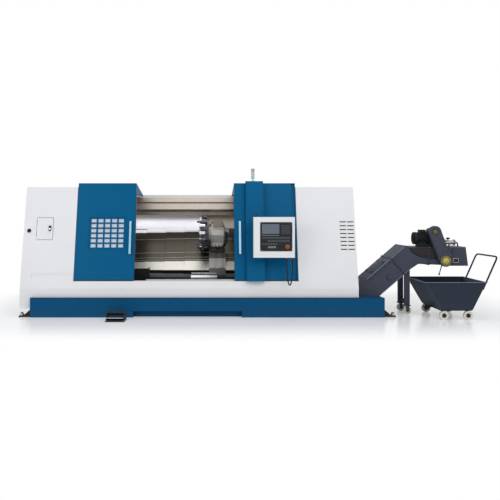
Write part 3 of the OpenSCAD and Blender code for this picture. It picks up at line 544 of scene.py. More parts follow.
class Shader:
    """One material, or the room's world, and the nodes in it.

    Attributes:
        material: The material or the world.
        tree: Its nodes.
        place: The place on the object.
    """

    def __init__(self, name: str, world: bpy.types.World | None = None) -> None:
        """Starts an empty node tree with the place on the object.

        Args:
            name: The material's name.
            world: The world, where the nodes are the room's.
        """
        self.material = world or bpy.data.materials.new(name)
        self.material.use_nodes = True
        self.tree = self.material.node_tree
        self.tree.nodes.clear()
        self.place = self.node("ShaderNodeTexCoord", out="Object")

    def node(self, kind: str, settings: dict | None = None, inputs: dict | None = None,
             out: str | int = 0) -> Wire:
        """Adds a node.

        Args:
            kind: The node's type name.
            settings: Its settings, which are set first; "stops" holds a ramp's (position, colour) pairs.
            inputs: Values or wires for its sockets, by name or number.
            out: The output to give back, by name or number.

        Returns:
            The chosen output as a wire.
        """
        made = self.tree.nodes.new(kind)
        for key, value in (settings or {}).items():
            if key == "stops":
                self.fill_ramp(made.color_ramp, value)
            else:
                setattr(made, key, value)
        for key, value in (inputs or {}).items():
            if isinstance(value, Wire):
                self.tree.links.new(value.socket, made.inputs[key])
            else:
                made.inputs[key].default_value = value
        return Wire(self, made.outputs[out] if len(made.outputs) else None)

    @staticmethod
    def fill_ramp(ramp: bpy.types.ColorRamp, stops: Sequence[tuple[float, RGB]]) -> None:
        """Sets a colour ramp's stops.

        Args:
            ramp: The ramp, which starts with two stops.
            stops: Pairs of position and colour.
        """
        while len(ramp.elements) < len(stops):
            ramp.elements.new(0.5)
        for element, (position, colour) in zip(ramp.elements, stops):
            element.position = position
            element.color = (*colour, 1.0)

    def noise(self, scale: float, detail: float = 3.0, stretch: POINT = (1.0, 1.0, 1.0)) -> Wire:
        """Soft noise over the object.

        Args:
            scale: Waves to a metre.
            detail: Octaves.
            stretch: Factors on the place, small along the direction that the noise is drawn out.

        Returns:
            The noise, from 0 to 1.
        """
        place = self.node("ShaderNodeMapping", inputs={"Vector": self.place, "Scale": stretch})
        return self.node("ShaderNodeTexNoise", inputs={"Vector": place, "Scale": scale, "Detail": detail})

    def along(self, axis: int) -> Wire:
        """The place along one axis: 0, 1 or 2 for X, Y or Z."""
        return self.node("ShaderNodeSeparateXYZ", inputs={0: self.place}, out=axis)

    def blend(self, share: Wire | float, first: RGB | Wire, second: RGB | Wire) -> Wire:
        """Mixes two colours.

        Args:
            share: The second colour's share, 0 to 1.
            first: The first colour.
            second: The second colour.

        Returns:
            The mixed colour.
        """
        ends = [c if isinstance(c, Wire) else (*c, 1.0) for c in (first, second)]
        return self.node("ShaderNodeMix", {"data_type": "RGBA", "clamp_factor": True},
                         {0: share, 6: ends[0], 7: ends[1]}, out=2)

    def window(self, axis: int, start: float, end: float, soft: float = 0.004) -> Wire:
        """A mask that is 1 between two places along an axis.

        Args:
            axis: 0, 1 or 2 for X, Y or Z.
            start: Where the stretch starts.
            end: Where it ends.
            soft: Half the width of its edges.

        Returns:
            The mask: the smooth step up at the start, times one less the smooth step at the end.
        """
        steps = [self.node("ShaderNodeMapRange", {"interpolation_type": "SMOOTHSTEP"},
                           {"Value": self.along(axis), "From Min": at - soft, "From Max": at + soft})
                 for at in (start, end)]
        return steps[0] * (1 - steps[1])

    def seen(self) -> Wire:
        """Tells what the camera sees, straight or by way of metal or glass.

        Returns:
            The largest of three: 1 where one of them holds.
        """
        rays = [self.node("ShaderNodeLightPath", out=f"Is {kind} Ray")
                for kind in ("Camera", "Glossy", "Transmission")]
        either = self.node("ShaderNodeMath", {"operation": "MAXIMUM"}, {0: rays[0], 1: rays[1]})
        return self.node("ShaderNodeMath", {"operation": "MAXIMUM"}, {0: either, 1: rays[2]})

    def bump(self, height: Wire, strength: float, distance: float) -> Wire:
        """Turns a height into a bumped normal.

        Args:
            height: The height, 0 to 1.
            strength: The bump's strength.
            distance: The full height in metres.

        Returns:
            The normal.
        """
        return self.node("ShaderNodeBump", inputs={"Height": height, "Strength": strength,
                                                   "Distance": distance})

    def close(self, **surface: Wire | float | RGB) -> MATERIAL:
        """Ends the material with a Principled surface.

        Args:
            **surface: The surface's inputs, with underscores for blanks.

        Returns:
            The finished material.
        """
        inputs = {key.replace("_", " "): (*value, 1.0) if isinstance(value, tuple) else value
                  for key, value in surface.items()}
        shaded = self.node("ShaderNodeBsdfPrincipled", inputs=inputs)
        self.node("ShaderNodeOutputMaterial", inputs={"Surface": shaded})
        return self.material


# Finishes


@dataclass(frozen=True)
class Enamel:
    """Baked enamel with a fine orange peel, a slow change of tone and floor dust low down.

    Attributes:
        name: The material's name.
        colour: The enamel's colour.
        rough: How dull it is.
        dust: How much dust gathers near the floor.
        coat: Weight of the clear coat.
        mirror: Strength of the plain reflection, 0.5 for bare plastic.
    """

    name: str
    colour: RGB
    rough: float = 0.42
    dust: float = 0.35
    coat: float = 0.02
    mirror: float = 0.1

    def material(self) -> MATERIAL:
        """Builds the material.

        Tone = colour, up to 8 % darker by slow noise; dust = the share of a grey that falls off as
        exp(-height / 0.15 m); roughness rises with slow noise and dust; bump = fine noise of 0.1 mm.

        Returns:
            The material.
        """
        shop = Shader(self.name)
        slow = shop.noise(1.3, 4.0)
        peel = shop.noise(420.0, 2.0)
        low = shop.node("ShaderNodeMath", {"operation": "EXPONENT"}, {0: shop.along(2) * (-1 / 0.15)})
        worn = tuple(c * 0.9 for c in self.colour)
        tone = shop.blend(slow * 0.8, self.colour, worn)
        tone = shop.blend(low * self.dust * slow, tone, linear(120, 118, 112))
        return shop.close(Base_Color=tone, Roughness=self.rough + (slow - 0.5) * 0.14 + low * 0.2,
                          Coat_Weight=self.coat, Coat_Roughness=0.3, Specular_IOR_Level=self.mirror,
                          Normal=shop.bump(peel, 0.12, 0.0001))


@dataclass(frozen=True)
class Brushed:
    """Brushed sheet metal, streaked along its grain.

    Attributes:
        name: The material's name.
        light: The colour of the bright streaks.
        shade: The colour of the dull streaks.
        grain: The direction of the grain.
        rough: How dull it is.
    """

    name: str
    light: RGB
    shade: RGB
    grain: Axis = Axis.X
    rough: float = 0.34

    def material(self) -> MATERIAL:
        """Builds the material.

        Streak = noise drawn out along the grain; colour = shade to light by streak and slow noise;
        roughness and a 0.05 mm bump follow the streak.

        Returns:
            The material.
        """
        shop = Shader(self.name)
        streak = shop.noise(260.0, 3.0, self.grain.value)
        slow = shop.noise(2.2, 3.0)
        tone = shop.blend(streak * 0.7 + slow * 0.3, self.shade, self.light)
        return shop.close(Base_Color=tone, Metallic=0.9, Roughness=self.rough + (streak - 0.5) * 0.2,
                          Normal=shop.bump(streak, 0.1, 0.00005))


@dataclass(frozen=True)
class Zoned:
    """A finish with one colour along a stretch of an axis and another beyond it.

    Attributes:
        name: The material's name.
        beyond: The colour beyond the stretch.
        inside: The colour along it.
        axis: 0, 1 or 2 for X, Y or Z.
        start: Where the stretch starts.
        end: Where it ends.
        rough: How dull it is.
        metal: How metallic it is.
    """

    name: str
    beyond: RGB
    inside: RGB
    axis: int
    start: float
    end: float
    rough: float = 0.42
    metal: float = 0.0

    def material(self) -> MATERIAL:
        """Builds the material: the mask picks the colour, and slow noise darkens it by up to 12 %.

        Returns:
            The material.
        """
        shop = Shader(self.name)
        slow, fine = shop.noise(3.0, 4.0), shop.noise(380.0, 2.0)
        mask = shop.window(self.axis, self.start, self.end)
        pair = [shop.blend(slow, c, tuple(v * 0.88 for v in c)) for c in (self.beyond, self.inside)]
        return shop.close(Base_Color=shop.blend(mask, *pair), Metallic=self.metal,
                          Roughness=self.rough + (slow - 0.5) * 0.16, Specular_IOR_Level=0.2,
                          Normal=shop.bump(fine, 0.1, 0.00008))


@dataclass(frozen=True)
class Moulded:
    """Moulded plastic or rubber with a fine pebble grain.

    Attributes:
        name: The material's name.
        colour: Its colour.
        rough: How dull it is.
        pebble: Height of the grain in metres.
    """

    name: str
    colour: RGB
    rough: float = 0.5
    pebble: float = 0.00008

    def material(self) -> MATERIAL:
        """Builds the material: slow noise of up to 12 % in tone, and cells of 1 mm as the grain.

        Returns:
            The material.
        """
        shop = Shader(self.name)
        slow = shop.noise(6.0, 3.0)
        cells = shop.node("ShaderNodeTexVoronoi", inputs={"Vector": shop.place, "Scale": 900.0})
        tone = shop.blend(slow, self.colour, tuple(c * 0.88 for c in self.colour))
        return shop.close(Base_Color=tone, Roughness=self.rough + (slow - 0.5) * 0.12,
                          Specular_IOR_Level=0.25, Normal=shop.bump(cells, 0.15, self.pebble))


@dataclass(frozen=True)
class Glow:
    """A lit face, such as a lens or a screen behind its cover.

    Attributes:
        name: The material's name.
        colour: The colour of the light.
        strength: How strongly it glows.
    """

    name: str
    colour: RGB
    strength: float = 0.5

    def material(self) -> MATERIAL:
        """Builds the material: a glossy face that gives off its own colour, a little uneven.

        Returns:
            The material.
        """
        shop = Shader(self.name)
        slow = shop.noise(9.0, 2.0)
        tone = shop.blend(slow * 0.5, self.colour, tuple(c * 0.8 for c in self.colour))
        return shop.close(Base_Color=tone, Roughness=0.18 + slow * 0.08, Emission_Color=tone,
                          Emission_Strength=self.strength)


def built(finish: Enamel | Brushed | Zoned | Moulded | Glow) -> MATERIAL:
    """A dataclass field that holds the finish's material."""
    return field(default_factory=finish.material)


@dataclass
class Finishes:
    """Every finish of the machine, made once."""

    blue: MATERIAL = built(Enamel("blue_enamel", linear(0, 92, 136), dust=0.2, mirror=0.06))
    deep_blue: MATERIAL = built(Enamel("deep_blue_enamel", linear(0, 78, 120), dust=0.12, mirror=0.06))
    white: MATERIAL = built(Enamel("white_enamel", linear(236, 236, 237), dust=0.1))
    grey: MATERIAL = built(Enamel("grey_enamel", linear(202, 201, 199), dust=0.2))
    navy: MATERIAL = built(Enamel("navy_enamel", linear(72, 77, 90), rough=0.5, dust=0.1, mirror=0.06))
    iron: MATERIAL = built(Enamel("black_enamel", linear(34, 35, 39), rough=0.5, coat=0.0))
    cast: MATERIAL = built(Enamel("grey_casting", linear(128, 130, 134), rough=0.55, dust=0.0))
    steel: MATERIAL = built(Brushed("brushed_steel", linear(214, 212, 208), linear(158, 152, 144)))
    sheet: MATERIAL = built(Brushed("guard_steel", linear(184, 178, 168), linear(122, 112, 98), Axis.Z, 0.3))
    ground: MATERIAL = built(
        Brushed("ground_steel", linear(236, 236, 238), linear(196, 198, 202), Axis.X, 0.22))
    cover: MATERIAL = built(Brushed("cover_steel", linear(80, 76, 68), linear(44, 41, 37), Axis.Y, 0.3))
    handle: MATERIAL = built(
        Brushed("handle_alloy", linear(166, 206, 226), linear(124, 170, 198), Axis.Z, 0.28))
    plastic: MATERIAL = built(Moulded("black_plastic", linear(30, 31, 34)))
    cream: MATERIAL = built(Moulded("cream_nylon", linear(232, 230, 214), 0.45))
    bright: MATERIAL = built(
        Brushed("bright_sheet", linear(246, 246, 248), linear(226, 224, 222), Axis.X, 0.24))
    apron: MATERIAL = built(
        Brushed("apron_steel", linear(196, 194, 188), linear(150, 146, 138), Axis.X, 0.36))
    tool: MATERIAL = built(Brushed("tool_steel", linear(96, 94, 102), linear(52, 52, 56), Axis.Z, 0.36))
    rubber: MATERIAL = built(Moulded("black_rubber", linear(24, 24, 26), 0.62, 0.00005))
    diffuser: MATERIAL = built(Glow("lamp_diffuser", linear(250, 250, 255), 0.95))
    yellow: MATERIAL = built(Enamel("yellow_enamel", linear(206, 194, 112), dust=0.0))
    roof: MATERIAL = built(Brushed("roof_steel", linear(226, 218, 208), linear(176, 164, 150), Axis.X, 0.3))
    # the bed rails' steel: painted reflection, near white along X -0.29 to 0.168 m and dark beyond
    rail: MATERIAL = built(
        Zoned("rail_steel_painted_reflection", linear(58, 60, 70), linear(238, 238, 240), 0, -0.29, 0.168, 0.4, 0.5))
    ledge: MATERIAL = built(Enamel("ledge_enamel", linear(206, 206, 202), 0.4, 0.0))
    casing: MATERIAL = built(
        Zoned("housing_finish", linear(222, 220, 214), linear(128, 116, 100), 2, 1.425, 2.6))
    saddle: MATERIAL = built(
        Zoned("saddle_finish", linear(110, 108, 106), linear(192, 189, 182), 2, 0.3, 0.868, 0.45))
    slide: MATERIAL = built(Enamel("dark_casting", linear(86, 80, 74), 0.6, 0.0))
    hopper: MATERIAL = built(Enamel("hopper_enamel", linear(50, 58, 71), 0.5, 0.1, mirror=0.06))
    # a near-black enamel: painted shade, on the plate in the recess under the conveyor's motor
    shield: MATERIAL = built(Enamel("recess_shade_enamel", linear(52, 49, 50), 0.6, 0.0))
    valve: MATERIAL = built(Brushed("valve_zinc", linear(186, 184, 184), linear(116, 112, 112), Axis.X, 0.4))
    # the yellow enamel at about half its brightness: painted shade on the upper disc, and also the flange
    # ring's colour
    shaded_yellow: MATERIAL = built(Enamel("yellow_enamel_painted_shade", linear(112, 104, 58), dust=0.0))
    dull: MATERIAL = built(Enamel("trough_enamel", linear(30, 30, 34), 0.78, 0.0, 0.0, 0.08))
    rim: MATERIAL = built(Enamel("rim_enamel", linear(116, 122, 138), rough=0.45, dust=0.0))
    # the door window's pane glows, though it holds no lamp: painted light
    pane: MATERIAL = built(Glow("window_pane", linear(196, 204, 212), 0.25))
    lens: MATERIAL = built(Moulded("lamp_plastic", linear(226, 228, 230), 0.25, 0.00002))


# Sub-assemblies


@dataclass
class Dressing:
    """One sub-assembly's share of the machine's looks.

    Attributes:
        finishes: The machine's finishes.
    """

    finishes: Finishes


@dataclass
class Painting(Dressing):
    """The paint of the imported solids."""

    def plan(self) -> dict[str, list[str]]:
        """Which solids take which finish."""
        return {
            "deep_blue": ["base"],
            "blue": ["left_door", "left_door_grille", "right_door", "panel_post"],
            "white": ["left_cabinet", "right_cabinet", "access_door", "front_sill", "headstock_housing",
                      "rear_housing", "rear_panels", "panel_box", "tailstock"],
            "casing": ["turret_housing"],
            "sheet": ["inner_guards", "back_panel"],
            "roof": ["roof_beam"],
            "rail": ["bed_rails"],
            "ledge": ["door_rail"],
            "slide": ["cross_slide"],
            "hopper": ["cart_hopper"],
            "valve": ["conveyor_valve"],
            "cover": [f"cover_left_{i}" for i in range(1, 5)] + [f"cover_right_{i}" for i in range(1, 4)],
            "ground": ["chuck", "pedal_plate"],
            "handle": ["left_door_handle", "right_door_handle"],
            "cast": ["slant_bed"],
            "saddle": ["saddle"],
            "tool": ["turret_disc"],
            "navy": ["conveyor_casing", "discharge_hood", "chain_guard", "conveyor_legs"],
            "iron": ["conveyor_motor", "cart_handle", "cart_frame", "pedal_base", "levelling_feet"],
            "dull": ["chip_trough"],
            "plastic": ["panel_face", "access_latch", "panel_cable"],
            "pane": ["left_door_pane"],
            "lens": ["signal_lamp"],
            "cream": ["conveyor_wheel_1", "conveyor_wheel_2"] + [f"cart_wheel_{i}" for i in range(1, 5)]}

    def dress(self) -> None:
        """Puts each finish into its solids' material slots, and reports the solids that have none."""
        painted = set()
        for finish, names in self.plan().items():
            for name in names:
                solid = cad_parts.get(name)
                if solid is None:
                    continue
                for place in solid.material_slots:
                    place.material = getattr(self.finishes, finish)
                painted.add(name)
        for name in sorted(set(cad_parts) - painted):
            LOG.warning("no finish for %s", name)
        LOG.info("painted %d solids", len(painted))


def low_of(node: str) -> POINT:
    """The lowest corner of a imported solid, in millimetres."""
    return tuple(float(value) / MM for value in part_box(node)[0])


def high_of(node: str) -> POINT:
    """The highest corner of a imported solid, in millimetres."""
    return tuple(float(value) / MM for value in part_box(node)[1])


def louvre_hood(face: float, top: float, size: PAIR, x0: float, x1: float) -> Form:
    """The pressed hood over a louvre: y and z run down a quarter ellipse from the sheet's face.

    Args:
        face: The Y that it springs from.
        top: Height of the louvre's upper edge.
        size: How far it stands out, below nought towards the front, and how far it comes down.
        x0: Its left end.
        x1: Its right end.

    Returns:
        The hood.
    """
    around = np.linspace(0, math.pi / 2, 7)
    arc = np.column_stack([face + size[0] * np.sin(around), top + 4 - size[1] * (1 - np.cos(around))])
    return drawn_along_x(sheet_profile(arc if size[0] > 0 else arc[::-1], 1.5), x0, x1)


def leaning(form: Form, foot: Sequence[float]) -> Form:
    """Lays a form that was built upright, facing -Y at the origin, against the leaning front.

    Args:
        form: The form, with Z up its face and -Y out of it.
        foot: Where its origin goes.

    Returns:
        The leaning form.
    """
    return form.moved(turn_about(0, -FRONT_LEAN), foot)


def facing_front(form: Form, place: Sequence[float]) -> Form:
    """Turns a form that was built along Z so that it points to the front, and puts it in place."""
    return form.moved(turn_about(0, math.pi / 2), place)


@dataclass
class OperatorPanel(Dressing):
    """The screen, keys, knobs and emergency stop on the panel's sunk face.

    Attributes:
        screen: The screen's box as shares of the face: left, low, right, high.
        keypad: The keypad's box as shares of the face.
        key_rows: Rows of the keypad.
        key_columns: Columns of the keypad.
        lower_rows: Heights of the operating rows, as shares of the face.
        key_gap: The gap between keys.
        key_out: How far a key stands out.
        stop_at: The emergency stop's place, as shares of the face.
    """

    screen: tuple[float, float, float, float] = (0.04, 0.60, 0.60, 0.95)
    keypad: tuple[float, float, float, float] = (0.67, 0.60, 0.96, 0.93)
    key_rows: int = 6
    key_columns: int = 6
    lower_rows: tuple[float, ...] = (0.46, 0.35, 0.24)
    key_gap: float = 5
    key_out: float = 5
    stop_at: PAIR = (0.87, 0.14)
    glass: MATERIAL = built(Glow("screen_glass", linear(84, 92, 104), 0.25))
    keys: MATERIAL = built(Moulded("grey_keys", linear(72, 76, 81), 0.45))
    pale_keys: MATERIAL = built(Moulded("pale_keys", linear(128, 130, 132), 0.45))
    red: MATERIAL = built(Moulded("stop_red", linear(176, 52, 38), 0.32))
    yellow: MATERIAL = built(Moulded("stop_ring", linear(168, 120, 44), 0.4))

    def __post_init__(self) -> None:
        """Reads the face's box from the frame."""
        self.low = low_of("panel_face")
        self.high = high_of("panel_face")
        self.front = self.low[1]

    def spot(self, across: float, up: float) -> PAIR:
        """The X and Z of a place given as shares of the face."""
        return tuple(self.low[axis] + share * (self.high[axis] - self.low[axis])
                     for axis, share in ((0, across), (2, up)))

    def plate(self, share: tuple[float, float, float, float], out: float, radius: float) -> Form:
        """A rounded plate on the face.

        Args:
            share: Its box as shares of the face.
            out: How far it stands out.
            radius: Edge radius.

        Returns:
            The plate.
        """
        x0, z0 = self.spot(share[0], share[1])
        x1, z1 = self.spot(share[2], share[3])
        return rounded_block((x0, self.front - out, z0), (x1, self.front + 2, z1), radius)

    def key_grid(self, share: tuple[float, float, float, float], rows: int, columns: int) -> Form:
        """A grid of keys with even gaps.

        Args:
            share: The grid's box as shares of the face.
            rows: Number of rows.
            columns: Number of columns.

        Returns:
            All the keys as one form.
        """
        x0, z0 = self.spot(share[0], share[1])
        x1, z1 = self.spot(share[2], share[3])
        wide, tall = (x1 - x0) / columns, (z1 - z0) / rows
        key = rounded_block((0, -self.key_out, 0), (wide - self.key_gap, 1, tall - self.key_gap), 1.5, 2)
        return joined([key.at((x0 + i * wide, self.front, z0 + j * tall)) for i in range(columns)
                       for j in range(rows)])

    def knob(self, across: float, up: float, radius: float) -> Form:
        """A turned knob with a skirt and a waist.

        Args:
            across: Its place across the face, as a share.
            up: Its place up the face, as a share.
            radius: The skirt's radius.

        Returns:
            The knob.
        """
        x, z = self.spot(across, up)
        form = turned([(radius, -2), (radius, 5), (radius * 0.8, 8), (radius * 0.76, 22), (radius * 0.66, 25),
                       (radius * 0.1, 26)])
        return facing_front(form, (x, self.front, z))

    def stop_button(self) -> None:
        """The emergency stop: a yellow ring and a red mushroom head."""
        x, z = self.spot(*self.stop_at)
        ring = turned([(34, -2), (34, 4), (31, 6), (15, 6)])
        head = turned([(13, 5), (13, 18), (24, 22), (26, 28), (23, 35), (12, 39), (2, 40)])
        piece("stop_ring", facing_front(ring, (x, self.front, z)), Body.PANEL, self.yellow)
        piece("stop_head", facing_front(head, (x, self.front, z)), Body.PANEL, self.red)

    def frame_trim(self) -> None:
        """A rounded trim that runs round the sunk face."""
        grow = 5
        path = frame_path(self.low[0] - grow, self.high[0] + grow, self.low[2] - grow, self.high[2] + grow)
        trim = swept(ring_profile(grow, 10), path + (0, low_of("panel_box")[1], 0), (0, 1, 0), True)
        piece("panel_trim", trim, Body.PANEL, self.finishes.plastic)

    def dress(self) -> None:
        """Adds every piece of the panel."""
        piece("panel_bezel", self.plate((0.02, 0.575, 0.62, 0.975), 3, 2), Body.PANEL,
              self.finishes.plastic)
        piece("panel_screen", self.plate(self.screen, 4, 1.5), Body.PANEL, self.glass)
        piece("panel_keypad", self.key_grid(self.keypad, self.key_rows, self.key_columns), Body.PANEL,
              self.keys)
        piece("screen_keys", self.key_grid((0.04, 0.535, 0.60, 0.57), 1, 10), Body.PANEL,
              self.pale_keys)
        rows = [self.key_grid((0.05 if i != 1 else 0.22, up - 0.04, 0.94 if i != 2 else 0.55, up + 0.04), 1,
                              12 if i != 2 else 6) for i, up in enumerate(self.lower_rows)]
        piece("operating_keys", joined(rows), Body.PANEL, self.keys)
        piece("feed_knobs", joined([self.knob(0.12, 0.34, 21), self.knob(0.66, 0.15, 18),
                                    self.knob(0.14, 0.13, 18)]), Body.PANEL,
              self.finishes.plastic)
        piece("start_keys", self.key_grid((0.24, 0.09, 0.50, 0.17), 1, 3), Body.PANEL,
              self.pale_keys)
        self.stop_button()
        self.frame_trim()


@dataclass
class PanelCable(Dressing):
    """The cable that hangs in a loop between the two glands under the panel.

    Attributes:
        top: Where the cable leaves the first gland.
        route: Its points, from the top, in millimetres.
        radius: The cable's radius.
        nut: Radius of a gland nut over its corners.
    """

    top: POINT = (1261, -1185, 958)
    route: tuple[tuple[float, float, float], ...] = ((0, 0, 0), (0, 0, -70), (1, -1, -160), (5, -3, -260),
                                                     (14, -6, -350), (30, -8, -410), (45, -8, -430),
                                                     (60, -8, -410), (76, -6, -350), (85, -3, -260),
                                                     (89, -1, -160), (90, 0, -70), (90, 0, 0))
    radius: float = 10
    nut: float = 25

    def dress(self) -> None:
        """Adds the cable, then the gland nuts, whose sleeves taper down round it."""
        points = np.asarray(self.route, float) + np.asarray(self.top)
        path = smooth_path(points, 5)
        made = piece("panel_cord", swept(ring_profile(self.radius, 14), path, (0, 1, 0)), Body.PANEL,
                     self.finishes.rubber)
        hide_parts("panel_cable")
        nuts = []
        for x, y, _ in (self.route[0], self.route[-1]):
            nut = turned([(self.nut, -6), (self.nut, 2), (self.nut * 0.9, 4)], 6)
            sleeve = turned([(16, -42), (18, -34), (21, -8)], 24)
            place = np.array([x, y, 0.0]) + np.array(self.top)
            nuts += [nut.at(place), sleeve.at(place)]
        piece("gland_nuts", joined(nuts), Body.PANEL, self.finishes.plastic)


@dataclass
class Doors(Dressing):
    """Lips, window trim and handle pads on the two sliding doors, and dark strips along each door's foot and
    hood fold, which are painted shadow.

    Attributes:
        thick: Thickness of a door's leaf.
        lip: Width of the rubber lip on the meeting edge.
        window: The window's left, right, lower and upper edges.
        trim: Radius of the window's trim.
        lip_z: Lower and upper end of a lip.
        stems: Heights of a handle's stems.
        grip_out: How far the grip stands off the door.
    """

    thick: float = 60
    lip: float = 26
    window: tuple[float, float, float, float] = (-1945, -1355, 1082, 1600)
    trim: float = 5
    lip_z: PAIR = (600, 1970)
    stems: PAIR = (1075, 1475)
    grip_out: float = 62

    def edge_lip(self, name: str, x: float, body: Body) -> None:
        """The rubber lip down a door's meeting edge.

        Args:
            name: The piece's name.
            x: The edge's place.
            body: The door's body.
        """
        path = np.array([(x, front_at(z) + self.thick / 2, z) for z in np.linspace(*self.lip_z, 24)])
        lip = swept(box_profile(3, self.lip, 1), path, (1, 0, 0))
        piece(name, lip, body, self.finishes.rubber)

    def window_trim(self) -> None:
        """The rounded trim round the window, on the leaning face."""
        x0, x1, z0, z1 = self.window
        tall = (z1 - z0) / math.cos(FRONT_LEAN)
        path = frame_path(x0 - self.trim, x1 + self.trim, -self.trim, tall + self.trim)
        trim = swept(ring_profile(self.trim, 10), path, (0, 1, 0), True)
        piece("window_trim", leaning(trim, (0, front_at(z0), z0)), Body.LEFT_DOOR,
              self.finishes.blue)

    def handle_pads(self, name: str, node: str, body: Body) -> None:
        """Oval pads under a handle's stems and screws on its grip.

        Args:
            name: The piece's name.
            node: The handle's solid.
            body: The door's body.
        """
        low, high = low_of(node), high_of(node)
        middle = (low[0] + high[0]) / 2
        pads, screws = [], []
        for z in self.stems:
            pad = rounded_block((-22, -3, -34), (22, 3, 34), 2.5)
            pads.append(leaning(pad, (middle, front_at(z), z)))
            head = facing_front(cap_screw(6, 4), (0, -self.grip_out, 0))
            screws.append(leaning(head, (middle, front_at(z), z)))
        piece(f"{name}_pads", joined(pads), body, self.finishes.rubber)
        piece(f"{name}_screws", joined(screws), body, self.finishes.ground)

    def foot_shadow_strip(self, name: str, node: str, body: Body) -> None:
        """A black rubber strip along the foot of a door's front: painted shadow under the door.

        Args:
            name: The strip's name.
            node: The door's solid.
            body: The door's body.
        """
        low, high = low_of(node), high_of(node)
        z = low[2] + 5
        # a black strip at the door's foot: painted shadow
        bar = rounded_block((low[0] + 1, front_at(z) - 1, z - 5), (high[0] - 1, front_at(z) + 20, z + 7), 1.5)
        piece(name, bar, body, self.finishes.rubber)

    def hood_fold_shade(self, name: str, node: str, body: Body) -> None:
        """A darker blue bead along a hood's upper fold: painted shadow in the fold.

        Args:
            name: The piece's name.
            node: The door's solid.
            body: The door's body.
        """
        low, high = low_of(node), high_of(node)
        z = high[2] - 3
        # a darker blue bead at the fold: painted shadow
        shade_bead = drawn_along_x(ring_profile(3, 8) + np.array([front_at(z) + 1, z]), low[0] + 4, high[0] - 4, 6)
        piece(name, shade_bead, body, self.finishes.deep_blue)

    def dress(self) -> None:
        """Dresses both doors."""
        self.foot_shadow_strip("left_door_foot_shadow", "left_door", Body.LEFT_DOOR)
        self.foot_shadow_strip("right_door_foot_shadow", "right_door", Body.RIGHT_DOOR)
        self.edge_lip("left_door_lip", high_of("left_door")[0] + 1.5, Body.LEFT_DOOR)
        self.edge_lip("right_door_lip", low_of("right_door")[0] - 1.5, Body.RIGHT_DOOR)
        self.window_trim()
        self.handle_pads("left_handle", "left_door_handle", Body.LEFT_DOOR)
        self.handle_pads("right_handle", "right_door_handle", Body.RIGHT_DOOR)
        self.hood_fold_shade("left_hood_fold_shade", "left_door", Body.LEFT_DOOR)
        self.hood_fold_shade("right_hood_fold_shade", "right_door", Body.RIGHT_DOOR)


@dataclass
class Post(Dressing):
    """Screws on the proud post, and the signal lamp's lenses, cap and foot.

    Attributes:
        out: How far the post stands off the leaning front.
        lens_h: Height of a lens.
        lens_r: Radius of a lens.
        screw_z: Heights of the lowest and the highest screw.
        green: The lower lens's finish.
        amber: The middle lens's finish.
        red: The upper lens's finish.
    """

    out: float = 90
    lens_h: float = 52
    lens_r: float = 29
    screw_z: PAIR = (640, 2150)
    green: MATERIAL = built(Moulded("green_lens", linear(176, 214, 206), 0.2, 0.00001))
    amber: MATERIAL = built(Moulded("amber_lens", linear(226, 214, 180), 0.2, 0.00001))
    red: MATERIAL = built(Moulded("red_lens", linear(214, 176, 172), 0.2, 0.00001))

    def seam_screws(self) -> None:
        """Two rows of button screws down the post's face."""
        low, high = low_of("panel_post"), high_of("panel_post")
        heads = []
        for x in (low[0] + 16, high[0] - 16):
            for z in np.linspace(*self.screw_z, 7):
                head = facing_front(cap_screw(6, 4), (0, -self.out, 0))
                heads.append(leaning(head, (x, front_at(z), z)))
        piece("post_screws", joined(heads), Body.RIGHT_DOOR, self.finishes.deep_blue)

    def lenses(self) -> None:
        """Three ribbed lenses with a domed cap: the radius runs over each rib as a cosine."""
        low, high = low_of("signal_lamp"), high_of("signal_lamp")
        x, y = ((low[i] + high[i]) / 2 for i in (0, 1))
        foot = low[2] + 40
        for i, (name, finish) in enumerate((("green_lens", self.green), ("amber_lens", self.amber),
                                            ("red_lens", self.red))):
            up = np.linspace(5, self.lens_h - 3, 29)
            ribs = self.lens_r + 1.2 * np.cos(np.arange(29) * math.pi / 2)
            lens = turned(list(zip(ribs, up)), 32).at((x, y, foot + i * self.lens_h))
            piece(name, lens, Body.RIGHT_DOOR, finish)
        cap = turned([(30, -8), (30, -2), (26, 1), (12, 2), (1, 2)])
        cap = cap.at((x, y, high[2] - 2))
        foot_ring = turned([(38, -2), (38, 6), (30, 12), (16, 20)])
        piece("lamp_cap", cap, Body.RIGHT_DOOR, self.finishes.plastic)
        piece("lamp_foot", foot_ring.at((x, y, low[2] + 2)), Body.RIGHT_DOOR,
              self.finishes.ground)

    def dress(self) -> None:
        """Adds the screws and the lenses."""
        self.seam_screws()
        self.lenses()


